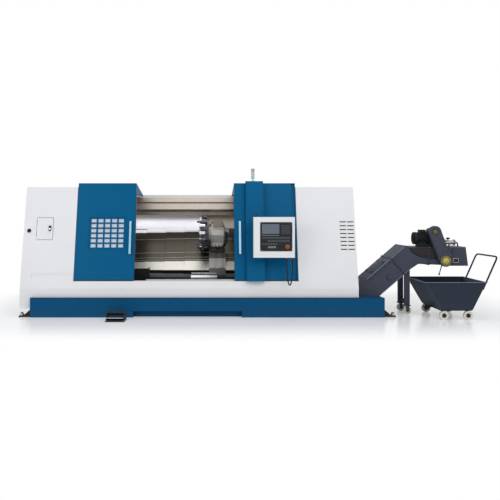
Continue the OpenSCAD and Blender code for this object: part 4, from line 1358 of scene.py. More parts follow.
@dataclass
class Cabinets(Dressing):
    """Louvre hoods with black sheets in the slots as painted shade, the service door's knuckles and lock, and
    the cable port's ring.

    Attributes:
        vent_x: Left edges of the two louvre columns.
        vent_w: Width of a louvre.
        vent_z: Lower edge of the lowest louvre.
        vent_step: Height from louvre to louvre.
        vent_h: Height of a louvre.
        vent_rows: Louvres in a column.
        hood: How far a hood stands out, towards the front, and comes down.
        knuckles: Heights of the service door's knuckles.
        port: The cable port's X and Z.
    """

    vent_x: PAIR = (2185, 2310)
    vent_w: float = 105
    vent_z: float = 1070
    vent_step: float = 64
    vent_h: float = 22
    vent_rows: int = 8
    hood: PAIR = (-7, 9)
    knuckles: tuple[float, ...] = (1252, 1415, 1560)
    port: PAIR = (-2931, 1379)

    def louvres(self) -> None:
        """Black sheets inside the slots as painted shade, and a pressed hood over each."""
        shade_sheets, hoods = [], []
        for x in self.vent_x:
            for row in range(self.vent_rows):
                z = self.vent_z + row * self.vent_step
                line = [(front_at(z) + 18, z + 0.5), (front_at(z + self.vent_h) + 0.5, z + self.vent_h - 1.5)]
                # a black sheet in each slot: painted shade
                shade_sheets.append(drawn_along_x(sheet_profile(line[::-1], 1), x + 1, x + self.vent_w - 1))
                top = z + self.vent_h
                hoods.append(louvre_hood(front_at(top), top, self.hood, x - 3, x + self.vent_w + 3))
        piece("louvre_painted_shade", joined(shade_sheets), Body.ROOT, self.finishes.iron, False)
        piece("louvre_hoods", joined(hoods), Body.ROOT, self.finishes.white)

    def service_door(self) -> None:
        """Knuckles on the pivot rod, and the lock's round escutcheon."""
        x = low_of("access_door")[0] + 4
        knuckles = []
        for z in self.knuckles:
            knuckle = turned([(6, 0), (6.8, 1), (6.8, 27), (6, 28)], 20)
            knuckles.append(leaning(knuckle, (x, front_at(z) + 3, z)))
        piece("service_knuckles", joined(knuckles), Body.ACCESS, self.finishes.ground)
        latch_low, latch_high = low_of("access_latch"), high_of("access_latch")
        middle = (latch_low[0] + latch_high[0]) / 2
        z = (latch_low[2] + latch_high[2]) / 2 - 14
        lock = turned([(13, -2), (13, 2), (11, 4), (5, 4), (4, 1), (1, 1)], 28)
        piece("service_lock", leaning(facing_front(lock, (0, -14, 0)), (middle, front_at(z), z)), Body.ACCESS,
              self.finishes.ground)

    def port_ring(self) -> None:
        """A grommet in the cable port."""
        x, z = self.port
        ring = turned([(26, 1), (33, 14), (34, 17), (28, 18), (24, 14), (22, 4), (2, 3)], 36)
        piece("port_grommet", leaning(facing_front(ring, (0, 0, 0)), (x, front_at(z), z)), Body.ROOT,
              self.finishes.plastic)

    def dress(self) -> None:
        """Adds the pieces of both end cabinets."""
        self.louvres()
        self.service_door()
        self.port_ring()


@dataclass(frozen=True)
class Section:
    """One section of a telescopic cover.

    Attributes:
        name: Its solid.
        step: Its number, from the fixed one.
        x0: Left end of what lies on it.
        x1: Right end of what lies on it.
        body: The body that carries it.
    """

    name: str
    step: int
    x0: float
    x1: float
    body: Body


@dataclass
class WayCovers(Dressing):
    """What the telescopic covers carry, bright shields, aprons, beads and wipers, and the back's lining.

    Attributes:
        low: The first section's lower edge, up the slope.
        high: The first section's upper edge.
        top: The first section's height over the bed.
        step: How much each further section is larger all round.
        plate: Thickness of the plates on a section.
        apron_to: Where the apron ends, up the slope.
        shield_from: Where the shield starts, up the slope.
        lining_top: The height of the lining's upper edge.
        lining_lean: How far the lining leans back, from the upright.
        lining_end: The lining's right end.
        crease: The crease's place, as a share of the way up the lining.
        skirt: Height of a wiper's ends over the bed.
        beads: Places of the beads, up the slope.
        bead_r: Radius of a bead.
    """

    low: float = -560
    high: float = 420
    top: float = 66
    step: float = 11
    plate: float = 2
    apron_to: float = -375
    shield_from: float = 340
    lining_top: float = 1627
    lining_lean: float = math.radians(37.0)
    lining_end: float = -60
    crease: float = 0.68
    skirt: float = 12
    beads: tuple[float, ...] = (-340, -283, -165, 170)
    bead_r: float = 4

    def strip(self, start: float, end: float, out: float) -> np.ndarray:
        """The section of a flat plate on the slope.

        Args:
            start: Its lower edge, up the slope.
            end: Its upper edge.
            out: Height of the section that it lies on.

        Returns:
            The closed outline.
        """
        line = [on_slope(start, out), on_slope(start + self.plate, out), on_slope(end, out)]
        return sheet_profile(line, self.plate)

    def out_of(self, section: Section) -> float:
        """Height of a section over the bed."""
        return self.top + section.step * self.step

    def shield(self, section: Section) -> None:
        """A bright strip along the section's upper part.

        Args:
            section: The section that it lies on.
        """
        end = self.high + section.step * self.step - 1
        outline = self.strip(self.shield_from, end, self.out_of(section))
        strip = drawn_along_x(outline, section.x0, section.x1, 4)
        piece(f"{section.name}_shield", strip, section.body, self.finishes.bright)

    def lining(self) -> None:
        """The bright sheet on the back panel behind the left covers, with a crease and a hemmed rim."""
        low = low_of("back_panel")
        foot = (low[1] + 11, low[2] + 21)
        tip = (foot[0] + (self.lining_top - foot[1]) * math.tan(self.lining_lean), self.lining_top)
        fold = tuple(a + (b - a) * self.crease for a, b in zip(foot, tip))
        ends = (low[0] + 4, self.lining_end)
        sheet = drawn_along_x(sheet_profile([foot, fold, tip], self.plate), *ends, 4)
        rims = [drawn_along_x(ring_profile(self.bead_r * 0.8, 8) + np.array(at), *ends, 4)
                for at in (fold, tip)]
        piece("back_lining", joined([sheet] + rims), Body.ROOT, self.finishes.bright)

    def apron(self, section: Section) -> None:
        """A pale strip along the section's lower part.

        Args:
            section: The section that it lies on.
        """
        start = self.low - section.step * self.step + 6
        outline = self.strip(start, self.apron_to, self.out_of(section))
        strip = drawn_along_x(outline, section.x0, section.x1, 4)
        piece(f"{section.name}_apron", strip, section.body, self.finishes.apron)

    def bead_rows(self, section: Section) -> None:
        """The long beads that stiffen a section.

        Args:
            section: The section that they lie on.
        """
        out = self.out_of(section) - 1
        rows = [drawn_along_x(ring_profile(self.bead_r, 10) + np.array(on_slope(up, out)), section.x0,
                              section.x1, 4) for up in self.beads]
        piece(f"{section.name}_beads", joined(rows), section.body, self.finishes.apron)

    def wiper(self, section: Section, x: float) -> None:
        """The lip round a section's free end.

        Args:
            section: The section that it lies on.
            x: The end's place along the machine.
        """
        out, grow = self.out_of(section), section.step * self.step
        low, high = self.low - grow, self.high + grow
        corners = [on_slope(low, self.skirt), on_slope(low, out), on_slope(high, out),
                   on_slope(high, self.skirt)]
        legs = [np.linspace(a, b, 9)[:-1] for a, b in zip(corners, corners[1:])]
        line = np.vstack(legs + [np.array(corners[-1:])])
        path = np.column_stack([np.full(len(line), x), line])
        lip = swept(box_profile(5, 4, 1), path, (1, 0, 0))
        piece(f"{section.name}_wiper", lip, section.body, self.finishes.rubber)

    def dress(self) -> None:
        """Dresses the back panel, the four left and the three right sections."""
        self.lining()
        left = [Body.ROOT, Body.LEFT_COVER_INNER, Body.LEFT_COVER_OUTER, Body.CARRIAGE]
        right = [Body.ROOT, Body.RIGHT_COVER_MIDDLE, Body.CARRIAGE]
        for side, bodies in (("left", left), ("right", right)):
            for step, body in enumerate(bodies):
                name = f"cover_{side}_{step + 1}"
                section = Section(name, step, low_of(name)[0] + 1, high_of(name)[0] - 1, body)
                self.apron(section)
                self.bead_rows(section)
                if side == "left":
                    self.shield(section)
                if step:
                    self.wiper(section, section.x0 + 5 if side == "left" else section.x1 - 5)


@dataclass
class WorkLight(Dressing):
    """The long lamp under the roof, behind the roof beam: a sheet tray and a ribbed diffuser.

    Attributes:
        middle: The lamp's Y.
        width: Its width.
        under: How far its tray hangs under the ceiling.
        height: Height of the tray.
        slope: How far the tray's sides slope in.
        ribs: Number of the diffuser's ribs.
    """

    middle: float = 590
    width: float = 230
    under: float = 2
    height: float = 26
    slope: float = 10
    ribs: int = 24

    def dress(self) -> None:
        """Adds the tray and the diffuser, whose underside waves as a cosine across its width."""
        ceiling = high_of("roof_beam")[2] - self.under
        x0, x1 = low_of("roof_beam")[0] + 30, high_of("roof_beam")[0] - 30
        y0, y1 = self.middle - self.width / 2, self.middle + self.width / 2
        under = ceiling - self.height
        tray = drawn_along_x(np.array([(y0, ceiling), (y0 + self.slope, under), (y1 - self.slope, under),
                                       (y1, ceiling)]), x0, x1)
        piece("light_tray", tray, Body.ROOT, self.finishes.white, False)
        share = np.linspace(0, 1, 2 * self.ribs + 1)
        lower = under - (5 + 2 * np.cos(share * self.ribs * 2 * math.pi))
        y0, y1 = y0 + 16, y1 - 16
        shade = np.vstack([np.column_stack([y0 + share * (y1 - y0), lower]), [(y1, under), (y0, under)]])
        piece("light_diffuser", drawn_along_x(shade, x0 + 15, x1 - 15, 6), Body.ROOT,
              self.finishes.diffuser)


@dataclass
class Turret(Dressing):
    """The disc's face ring, wedges and screws, and the housing's motor, hoses, lid and coolant cups.

    Attributes:
        stations: Number of tool stations.
        ring_r: Radius of the face ring.
        screws: Number of screws in the face ring.
        holder_r: Distance of a holder's outer face from the axis.
        wedge_r: Inner and outer distance of a wedge from the axis.
        motor_at: The motor's place up the slope, and its height over the bed.
        lid_at: The lid's lower edge, given in the same way.
        cups_at: The coolant cups' feet, given in the same way.
    """

    stations: int = 12
    ring_r: float = 168
    screws: int = 12
    holder_r: float = 262
    wedge_r: PAIR = (226, 264)
    motor_at: PAIR = (0, 430)
    lid_at: PAIR = (-105, 616)
    cups_at: PAIR = (-178, 330)

    def on_disc(self, form: Form, radius: float, angle: float, x: float) -> Form:
        """Puts a form built on the disc's axis at a radius and angle, with its Z along -X.

        Args:
            form: The form.
            radius: Distance from the disc's axis.
            angle: Angle round the axis.
            x: Place along the machine.

        Returns:
            The placed form.
        """
        faced = form.moved(turn_about(1, -math.pi / 2), (0, 0, 0))
        return faced.at((x, TURRET_AT[0] + radius * math.cos(angle), TURRET_AT[1] + radius * math.sin(angle)))

    def face_ring(self) -> None:
        """The raised ring on the disc's outer face, with its screws and a domed cap."""
        x = low_of("turret_disc")[0] + 60
        ring = turned([(self.ring_r + 12, -2), (self.ring_r + 12, 5), (self.ring_r + 8, 8),
                       (self.ring_r - 14, 8), (self.ring_r - 18, 4), (130, 3)], 48)
        cap = turned([(70, 12), (70, 20), (62, 27), (34, 32), (4, 33)], 40)
        turns = np.arange(self.screws) * 2 * math.pi / self.screws
        heads = [self.on_disc(cap_screw(8, 9), self.ring_r, a, x - 7) for a in turns]
        piece("disc_ring", joined([self.on_disc(ring, 0, 0, x), self.on_disc(cap, 0, 0, x)]), Body.TURRET,
              self.finishes.ground)
        piece("disc_screws", joined(heads), Body.TURRET, self.finishes.iron)

    def clamp_screws(self) -> None:
        """Two clamp screws on the outer face of each tool holder."""
        x = high_of("turret_disc")[0]
        made = []
        for i in range(self.stations):
            angle = BED_SLANT + math.pi / 2 + i * 2 * math.pi / self.stations
            for along in (90, 130):
                head = cap_screw(6, 5).moved(turn_about(1, math.pi / 2), (0, 0, 0))
                head = head.moved(turn_about(2, math.pi / 2), (0, self.holder_r, 0))
                made.append(head.moved(turn_about(0, angle), (x - along, *TURRET_AT)))
        piece("holder_screws", joined(made), Body.TURRET, self.finishes.iron)

    def nozzles(self) -> None:
        """Three coolant cups on a pipe under the housing's lower face, pointing at the tool."""
        cup = turned([(9, -4), (9, 12), (15, 18), (18, 34), (15, 38), (8, 36), (1, 30)], 20)
        low_x = low_of("cross_slide")[0]
        tilt = turn_about(0, math.radians(135))
        places = [(low_x + 50 + i * 60, *on_slope(*self.cups_at)) for i in range(3)]
        piece("coolant_cups", joined([cup.moved(tilt, place) for place in places]), Body.SLIDE,
              self.finishes.white)
        y, z = on_slope(self.cups_at[0] + 4, self.cups_at[1])
        path = np.array([(x, y, z) for x in np.linspace(low_x + 20, low_x + 200, 10)])
        piece("coolant_pipe", swept(ring_profile(10), path, (0, 1, 0)), Body.SLIDE,
              self.finishes.ground)

    def lid(self) -> None:
        """A plate with four screws on the housing's front face."""
        high = high_of("turret_housing")
        y, z = on_slope(*self.lid_at)
        slope = turn_about(0, BED_SLANT)
        plate = rounded_block((0, 0, 0), (190, 150, 5), 2)
        x0 = high[0] - 215
        piece("turret_lid", plate.moved(slope, (x0, y, z)), Body.SLIDE, self.finishes.grey)
        heads = []
        for dx in (12, 178):
            for up in (12, 138):
                at = np.array([dx, up, 5]) @ slope.T + np.array([x0, y, z])
                heads.append(cap_screw(5, 4).moved(slope, at))
        piece("turret_lid_screws", joined(heads), Body.SLIDE, self.finishes.iron)

    def wedges(self) -> None:
        """Bright clamp wedges on the disc's rim between its holders."""
        x = high_of("turret_disc")[0]
        made = []
        for i in range(self.stations):
            angle = BED_SLANT + (i + 0.5) * 2 * math.pi / self.stations
            wedge = rounded_block((x - 196, -28, self.wedge_r[0]), (x - 92, 28, self.wedge_r[1]), 5)
            made.append(wedge.moved(turn_about(0, angle), (0, *TURRET_AT)))
        piece("holder_wedges", joined(made), Body.TURRET, self.finishes.ground)

    def index_motor(self) -> None:
        """The indexing motor on the housing's right, with its connector and two hoses to the saddle."""
        x = high_of("turret_housing")[0]
        y, z = on_slope(*self.motor_at)
        body = turned([(84, -2), (84, 14), (70, 18), (70, 92), (64, 100), (40, 102), (20, 103), (1, 103)], 40)
        upright = turn_about(1, math.pi / 2)
        motor = body.moved(upright, (x, y, z))
        fins = [turned([(70, t - 3), (75, t - 2), (75, t + 2), (70, t + 3)], 40).moved(upright, (x, y, z))
                for t in np.arange(28, 90, 10)]
        plug = rounded_block((x + 34, y - 98, z - 18), (x + 74, y - 60, z + 22), 4)
        piece("index_motor", joined([motor] + fins), Body.SLIDE, self.finishes.grey)
        piece("motor_plug", plug, Body.SLIDE, self.finishes.plastic)
        hoses = []
        low, ends = on_slope(-215, 262), on_slope(-232, 236)
        for dx, sag in ((44, 40), (64, 66)):
            route = [(x + dx, y - 84, z - 12), (x + dx, y - 88 - sag * 0.4, z - 60),
                     (x + dx - 8, y - 96 - sag, z - 150), (x + dx - 60, low[0] - sag * 0.7, low[1] + 30),
                     (x - 40 - dx, low[0] - 6, low[1] + 6), (x - 60 - dx, *ends)]
            hoses.append(swept(ring_profile(9, 10), smooth_path(route, 7), (1, 0.2, 0.1)))
        piece("motor_hoses", joined(hoses), Body.SLIDE, self.finishes.rubber)

    def dress(self) -> None:
        """Adds every piece of the turret."""
        self.wedges()
        self.index_motor()
        self.face_ring()
        self.clamp_screws()
        self.nozzles()
        self.lid()


@dataclass
class Trough(Dressing):
    """A black sheet under the chuck as painted shadow, the tray's edge, and the saddle's ground lip and
    screws.

    Attributes:
        sheet_x: Left and right end of the black shadow sheet.
        sheet_y: Front and back of the black shadow sheet.
        sheet_z: Lower and upper edge of the black shadow sheet.
        bend: The sheet's radius at its corner.
        lip_x: Left and right end of the ground lip.
        lip_at: The lip's place up the slope, and its height over the bed.
        screws_at: The saddle screws' place, given in the same way.
    """

    sheet_x: PAIR = (-1494, -1000)
    sheet_y: PAIR = (-600, -330)
    sheet_z: PAIR = (322, 738)
    bend: float = 50
    lip_x: PAIR = (-290, 168)
    lip_at: PAIR = (-593, 20)
    screws_at: PAIR = (-576, 169)

    def chuck_shadow_sheet(self) -> None:
        """A black sheet bent round its right-hand corner, with a round bead on its upper edge: painted shadow
        under the chuck.
        """
        (x0, x1), (y0, y1) = self.sheet_x, self.sheet_y
        bend = self.bend
        around = np.linspace(-math.pi / 2, 0, 9)
        corner = [(x1 - bend + bend * math.cos(a), y0 + bend + bend * math.sin(a)) for a in around]
        plan = np.array([(x0, y0)] + corner + [(x1, y1)])
        upright = np.column_stack([plan, np.full(len(plan), sum(self.sheet_z) / 2)])
        sheet = swept(box_profile(4, self.sheet_z[1] - self.sheet_z[0], 1), upright, (0.3, 1, 0))
        edge = np.column_stack([plan, np.full(len(plan), self.sheet_z[1] - 4)])
        shade_bead = swept(ring_profile(4, 8), edge, (0, 0, 1))
        # a black sheet where the trough lies in the chuck's shadow: painted shadow
        piece("chuck_shadow_sheet", joined([sheet, shade_bead]), Body.ROOT, self.finishes.iron)

    def ground_lip(self) -> None:
        """A ground bar along the saddle's lower end and the next cover's edge."""
        y, z = on_slope(*self.lip_at)
        bar = rounded_block((self.lip_x[0], y - 16, z - 12), (self.lip_x[1], y - 2, z + 12), 4)
        piece("ground_lip", bar, Body.CARRIAGE, self.finishes.bright)

    def saddle_screws(self) -> None:
        """A row of screws along the saddle's lower end, clear of the cross slide's travel."""
        low, high = low_of("saddle"), high_of("saddle")
        heads = [cap_screw(6, 5).moved(turn_about(0, BED_SLANT), (x, *on_slope(*self.screws_at)))
                 for x in np.linspace(low[0] + 36, high[0] - 36, 4)]
        piece("saddle_screws", joined(heads), Body.CARRIAGE, self.finishes.iron)

    def tray_edge(self) -> None:
        """The pale rolled edge of the tray along the sill's inner side."""
        z, y = high_of("front_sill")[2], high_of("front_sill")[1] - 20
        right = high_of("front_sill")[0] - 20
        edge = rounded_block((self.sheet_x[1], y - 9, z - 2), (right, y + 9, z + 21), 6)
        piece("tray_edge", edge, Body.ROOT, self.finishes.ledge)

    def dress(self) -> None:
        """Adds the pieces in and over the trough."""
        self.tray_edge()
        self.chuck_shadow_sheet()
        self.ground_lip()
        self.saddle_screws()


@dataclass
class Spindles(Dressing):
    """Screws on the chuck's face, and the tailstock's collar.

    Attributes:
        axis: The spindle's Y and Z.
        face: The X of the chuck's face.
        screw_r: Distance of the face screws from the axis.
        collar_in: How far the collar is from the tailstock's left end.
    """

    axis: PAIR = (-330, 1000)
    face: float = -1320
    screw_r: float = 215
    collar_in: float = 214

    def chuck_screws(self) -> None:
        """Three screws on the face, between the jaws."""
        upright = turn_about(1, math.pi / 2)
        heads = []
        for i in (2, 6, 10):
            angle = i * math.pi / 6 + math.pi / 12
            y = self.axis[0] + self.screw_r * math.cos(angle)
            z = self.axis[1] + self.screw_r * math.sin(angle)
            heads.append(cap_screw(10, 5).moved(upright, (self.face, y, z)))
        piece("chuck_screws", joined(heads), Body.SPINDLE, self.finishes.iron)

    def quill_collar(self) -> None:
        """A collar with a wiper round the tailstock's quill."""
        x = low_of("tailstock")[0] + self.collar_in
        y, z = self.axis
        ring = turned([(86, -3), (86, 8), (80, 12), (66, 12), (63, 8)], 40)
        piece("quill_collar", ring.moved(turn_about(1, -math.pi / 2), (x, y, z)), Body.TAIL,
              self.finishes.ground)

    def dress(self) -> None:
        """Adds the pieces on both spindles."""
        self.chuck_screws()
        self.quill_collar()


@dataclass
class Conveyor(Dressing):
    """Bolts, a black plate under the motor as painted shade, hub discs, motor grille, valve fittings, hood
    window and incline cover.

    Attributes:
        foot: X and Z where the incline starts.
        rise: The incline's angle.
        face: Y of the casing's front.
        lip: How far the lips stand off it.
        seam_up: The bolted seam's place up the incline.
        seam_x: The bolted seam's place on the level head.
        top_wheel: X and Z of the upper chain wheel.
        low_wheel: X and Z of the lower chain wheel.
        motor: Y and Z of the motor's axis.
        recess_shade_x: Left and right end of the black plate that stands for the shade under the motor.
        recess_shade_z: The black plate's upper edge.
        recess_shade_deep: How far the black plate comes down at its right end.
        flange_r: Distance of the flange's screws from the lower wheel's axis.
        guard_half: Distance of the guard's bolts from its middle line.
        cover_at: The inspection cover's place up the incline, and its height over the underside.
        disc_r: Radius of the lower and of the upper disc on the chain guard.
        ball_at: Where the lever's ball is.
        ball_r: Its radius.
    """

    foot: PAIR = (2830, 307)
    rise: float = math.radians(40.7)
    face: float = -850
    lip: float = 12
    seam_up: float = 544
    seam_x: float = 3639
    top_wheel: PAIR = (3723, 1363)
    low_wheel: PAIR = (3895, 889)
    motor: PAIR = (-720, 1254)
    recess_shade_x: PAIR = (3330, 3770)
    recess_shade_z: float = 1104
    recess_shade_deep: float = 180
    flange_r: float = 73
    guard_half: float = 78
    cover_at: PAIR = (150, 352)
    disc_r: PAIR = (56, 50)
    ball_at: POINT = (3835, -790, 660)
    ball_r: float = 15

    def on_incline(self, up: float, out: float) -> PAIR:
        """X and Z of a place on the incline, from its way up and its height over the underside."""
        run, climb = math.cos(self.rise), math.sin(self.rise)
        return self.foot[0] + up * run - out * climb, self.foot[1] + up * climb + out * run

    def seam_bolts(self) -> None:
        """Bolts along both seams and along the incline's side lip."""
        heads = []
        for out in np.linspace(40, 300, 5):
            x, z = self.on_incline(self.seam_up, out)
            heads.append(facing_front(hex_bolt(8, 6), (x, self.face - self.lip, z)))
        for z in np.linspace(850, 1085, 5):
            heads.append(facing_front(hex_bolt(8, 6), (self.seam_x, self.face - self.lip, z)))
        for up in np.linspace(80, 480, 5):
            x, z = self.on_incline(up, 314)
            heads.append(facing_front(hex_bolt(6, 5), (x, self.face - self.lip, z)))
        piece("conveyor_bolts", joined(heads), Body.ROOT, self.finishes.iron)
        edges = []
        for out, start, end in ((344, 20, 830), (8, 40, 700)):
            line = [self.on_incline(up, out) for up in np.linspace(start, end, 12)]
            edges.append(swept(ring_profile(7, 8), np.array([(x, self.face - 1, z) for x, z in line]),
                               (0, 1, 0)))
        piece("incline_beads", joined(edges), Body.ROOT, self.finishes.rim)

    def motor_recess_shade(self) -> None:
        """A black plate in the dark recess under the motor, as painted shade: x and z run down a quarter
        ellipse at its lower edge.
        """
        around = np.linspace(0, math.pi / 2, 15)
        x0, x1 = self.recess_shade_x
        arc = [(x0 + (x1 - x0) * (1 - math.cos(a)), self.recess_shade_z - self.recess_shade_deep * math.sin(a))
               for a in around]
        outline = np.array(arc + [(x1, self.recess_shade_z)])
        plate = drawn_along_y(outline, self.face + 1, self.face - 3)
        bead = swept(ring_profile(7, 8), np.array([(x, self.face - 2, z) for x, z in arc]), (0, 1, 0))
        # the black plate and its bead: painted shade in the recess under the motor
        piece("motor_recess_shade", plate, Body.ROOT, self.finishes.shield, False)
        piece("recess_shade_bead", bead, Body.ROOT, self.finishes.iron)

    def hub_discs(self) -> None:
        """The dished discs on the chain guard's ends, with a nut in the middle, and the guard's screws."""
        front = low_of("chain_guard")[1] + 8
        discs = (("low_disc", self.low_wheel, self.disc_r[0], self.finishes.yellow),
                 # the upper disc takes the darkened yellow: painted shade
                 ("top_disc", self.top_wheel, self.disc_r[1], self.finishes.shaded_yellow))
        for name, (x, z), radius, finish in discs:
            disc = turned([(radius, -1), (radius, 5), (radius * 0.94, 8), (radius * 0.8, 8),
                           (radius * 0.72, 11), (radius * 0.4, 14), (radius * 0.34, 20), (radius * 0.28, 22),
                           (1, 22)], 48)
            piece(name, facing_front(disc, (x, front, z)), Body.ROOT, finish)
        x, z = self.low_wheel
        ring = turned([(88, -1), (88, 3), (86, 5), (58, 5)], 48)
        piece("disc_flange", facing_front(ring, (x, front, z)), Body.ROOT, self.finishes.shaded_yellow)
        around = np.arange(16) * math.pi / 8
        places = zip(x + self.flange_r * np.cos(around), z + self.flange_r * np.sin(around))
        heads = [facing_front(cap_screw(6, 5), (across, front - 4, up)) for across, up in places]
        piece("flange_screws", joined(heads), Body.ROOT, self.finishes.yellow)
        heads = []
        way = np.array(self.low_wheel) - np.array(self.top_wheel)
        side = np.array([way[1], -way[0]]) / np.linalg.norm(way)
        for share in (0.28, 0.5, 0.72):
            for across in (-self.guard_half, self.guard_half):
                x, z = np.array(self.top_wheel) + way * share + side * across
                heads.append(facing_front(hex_bolt(6, 5), (x, front, z)))
        piece("guard_bolts", joined(heads), Body.ROOT, self.finishes.iron)

    def motor_grille(self) -> None:
        """Rings and spokes on the fan cowl, and the terminal box's lid with its screws and gland."""
        y, z = self.motor
        x = low_of("conveyor_motor")[0]
        around = np.linspace(0, 2 * math.pi, 48, endpoint=False)
        wire = ring_profile(2.5, 8)
        parts = []
        for r in (26, 42, 58, 74, 90):
            ring = np.stack([np.full(48, x - 2), y + r * np.cos(around), z + r * np.sin(around)], -1)
            parts.append(swept(wire, ring, (1, 0, 0), True))
        for angle in np.arange(6) * math.pi / 3:
            spoke = [(x - 1, y + r * math.cos(angle), z + r * math.sin(angle))
                     for r in np.linspace(12, 92, 5)]
            parts.append(swept(wire, np.array(spoke), (1, 0, 0)))
        hub = turned([(16, -1), (16, 2), (12, 4), (1, 4)])
        parts.append(hub.moved(turn_about(1, -math.pi / 2), (x, y, z)))
        piece("fan_grille", joined(parts), Body.ROOT, self.finishes.iron)
        lid_z = z + 134
        lid = rounded_block((x + 86, y - 49, lid_z - 2), (x + 194, y + 49, lid_z + 7), 3)
        screws = [cap_screw(5, 4).at((x + dx, y + dy, lid_z + 7)) for dx in (96, 184) for dy in (-39, 39)]
        gland = joined([turned([(15, -2), (15, 9), (13, 10)], 6),
                        turned([(11, 9), (11, 20), (8, 23), (1, 23)])])
        piece("terminal_lid", lid, Body.ROOT, self.finishes.iron)
        piece("terminal_screws", joined(screws), Body.ROOT, self.finishes.ground)
        piece("terminal_gland", facing_front(gland, (x + 140, y - 45, lid_z - 26)), Body.ROOT,
              self.finishes.plastic)

    def valve_fittings(self) -> None:
        """Union nuts on the valve, a black hand knob, and a rigid pipe down to the hood."""
        low, high = low_of("conveyor_valve"), high_of("conveyor_valve")
        y = (low[1] + high[1]) / 2
        z = low[2] + 70
        nut = turned([(48, -8), (50, -6), (50, 8), (48, 10)], 6)
        nuts = [nut.moved(turn_about(1, math.pi / 2), (x, y, z)) for x in (low[0] + 12, high[0] - 20)]
        piece("valve_nuts", joined(nuts), Body.ROOT, self.finishes.iron)
        knob = turned([(10, -10), (26, -6), (32, 2), (32, 12), (26, 18), (8, 20)], 10)
        piece("valve_knob", knob.at((low[0] + 60, y, high[2])), Body.ROOT,
              self.finishes.plastic)
        route = [(high[0] - 6, y, z), (high[0] + 28, y, z - 6), (high[0] + 34, y - 20, z - 44),
                 (high[0] - 2, y - 84, z - 84), (high[0] - 60, y - 112, z - 118),
                 (high[0] - 92, y - 112, z - 150), (high[0] - 100, y - 96, z - 160)]
        piece("valve_pipe", swept(ring_profile(12), smooth_path(route, 6), (0.2, 0.5, 1)), Body.ROOT,
              self.finishes.navy)

    def hood_window(self) -> None:
        """A pale frame with a dark pane in the discharge hood, and hems down its edges."""
        low, high = low_of("discharge_hood"), high_of("discharge_hood")
        x0, x1 = low[0] + 60, low[0] + 135
        z0, z1 = low[2] + 59, low[2] + 117
        front = low[1]
        path = frame_path(x0 - 3, x1 + 3, z0 - 3, z1 + 3, 6) + (0, front, 0)
        piece("window_frame", swept(ring_profile(5, 10), path, (0, 1, 0), True), Body.ROOT,
              self.finishes.apron)
        pane = rounded_block((x0 + 1, front + 3, z0 + 1), (x1 - 1, front + 4.8, z1 - 1), 0.6)
        piece("window_pane_dark", pane, Body.ROOT, self.finishes.plastic)
        heights = np.linspace(low[2] + 10, high[2] - 6, 8)
        upright = swept(ring_profile(4, 8), np.array([(low[0] + 8, front, z) for z in heights]), (1, 0, 0))
        level = drawn_along_x(ring_profile(4, 8) + np.array([front + 1, high[2] - 4]), low[0] + 8,
                              low[0] + 252)
        piece("hood_hems", joined([upright, level]), Body.ROOT, self.finishes.rim)

    def incline_cover(self) -> None:
        """An inspection cover on the incline's upper face, with four wing knobs."""
        plate = rounded_block((0, -180, 0), (300, 180, 5), 2)
        tilt = turn_about(1, -self.rise)
        middle = self.face + 250
        x, z = self.on_incline(*self.cover_at)
        piece("incline_cover", plate.moved(tilt, (x, middle, z)), Body.ROOT, self.finishes.navy)
        knob = turned([(6, 4), (6, 12), (16, 16), (16, 24), (6, 27)], 8)
        knobs = [knob.at((dx, dy, 0)).moved(tilt, (x, middle, z)) for dx in (24, 276) for dy in (-150, 150)]
        piece("cover_knobs", joined(knobs), Body.ROOT, self.finishes.plastic)

    def lever_ball(self) -> None:
        """The lever's ball under the head: a point's radius is the ball's, times the sine of its angle."""
        around = np.linspace(0.12, math.pi - 0.12, 11)
        ball = turned(self.ball_r * np.column_stack([np.sin(around), -np.cos(around)]), 20)
        piece("lever_ball", ball.at(self.ball_at), Body.ROOT, self.finishes.plastic)

    def caster_hubs(self) -> None:
        """Hub caps on the two casters."""
        for name, body in (("conveyor_wheel_1", Body.CASTER_1), ("conveyor_wheel_2", Body.CASTER_2)):
            wheel_hub(name, body, -1, 20, self.finishes.iron)

    def dress(self) -> None:
        """Adds every piece of the conveyor."""
        self.seam_bolts()
        self.motor_recess_shade()
        self.hub_discs()
        self.motor_grille()
        self.valve_fittings()
        self.hood_window()
        self.incline_cover()
        self.lever_ball()
        self.caster_hubs()


def wheel_hub(name: str, body: Body, side: int, radius: float, finish: MATERIAL) -> None:
    """A dished hub with a nut on one face of a wheel.

    Args:
        name: The wheel's solid.
        body: The wheel's body.
        side: -1 for the face towards the front, 1 for the back.
        radius: The hub's radius.
        finish: The hub's finish.
    """
    low, high = low_of(name), high_of(name)
    disc = turned([(radius, -1), (radius, 2), (radius * 0.86, 4), (radius * 0.5, 4), (radius * 0.44, 2)], 28)
    nut = turned([(radius * 0.42, 1), (radius * 0.42, 6), (radius * 0.34, 7)], 6)
    hub = joined([disc, nut])
    face = low[1] if side < 0 else high[1]
    place = ((low[0] + high[0]) / 2, face, (low[2] + high[2]) / 2)
    piece(f"{name}_hub", hub.moved(turn_about(0, -side * math.pi / 2), place), body, finish)


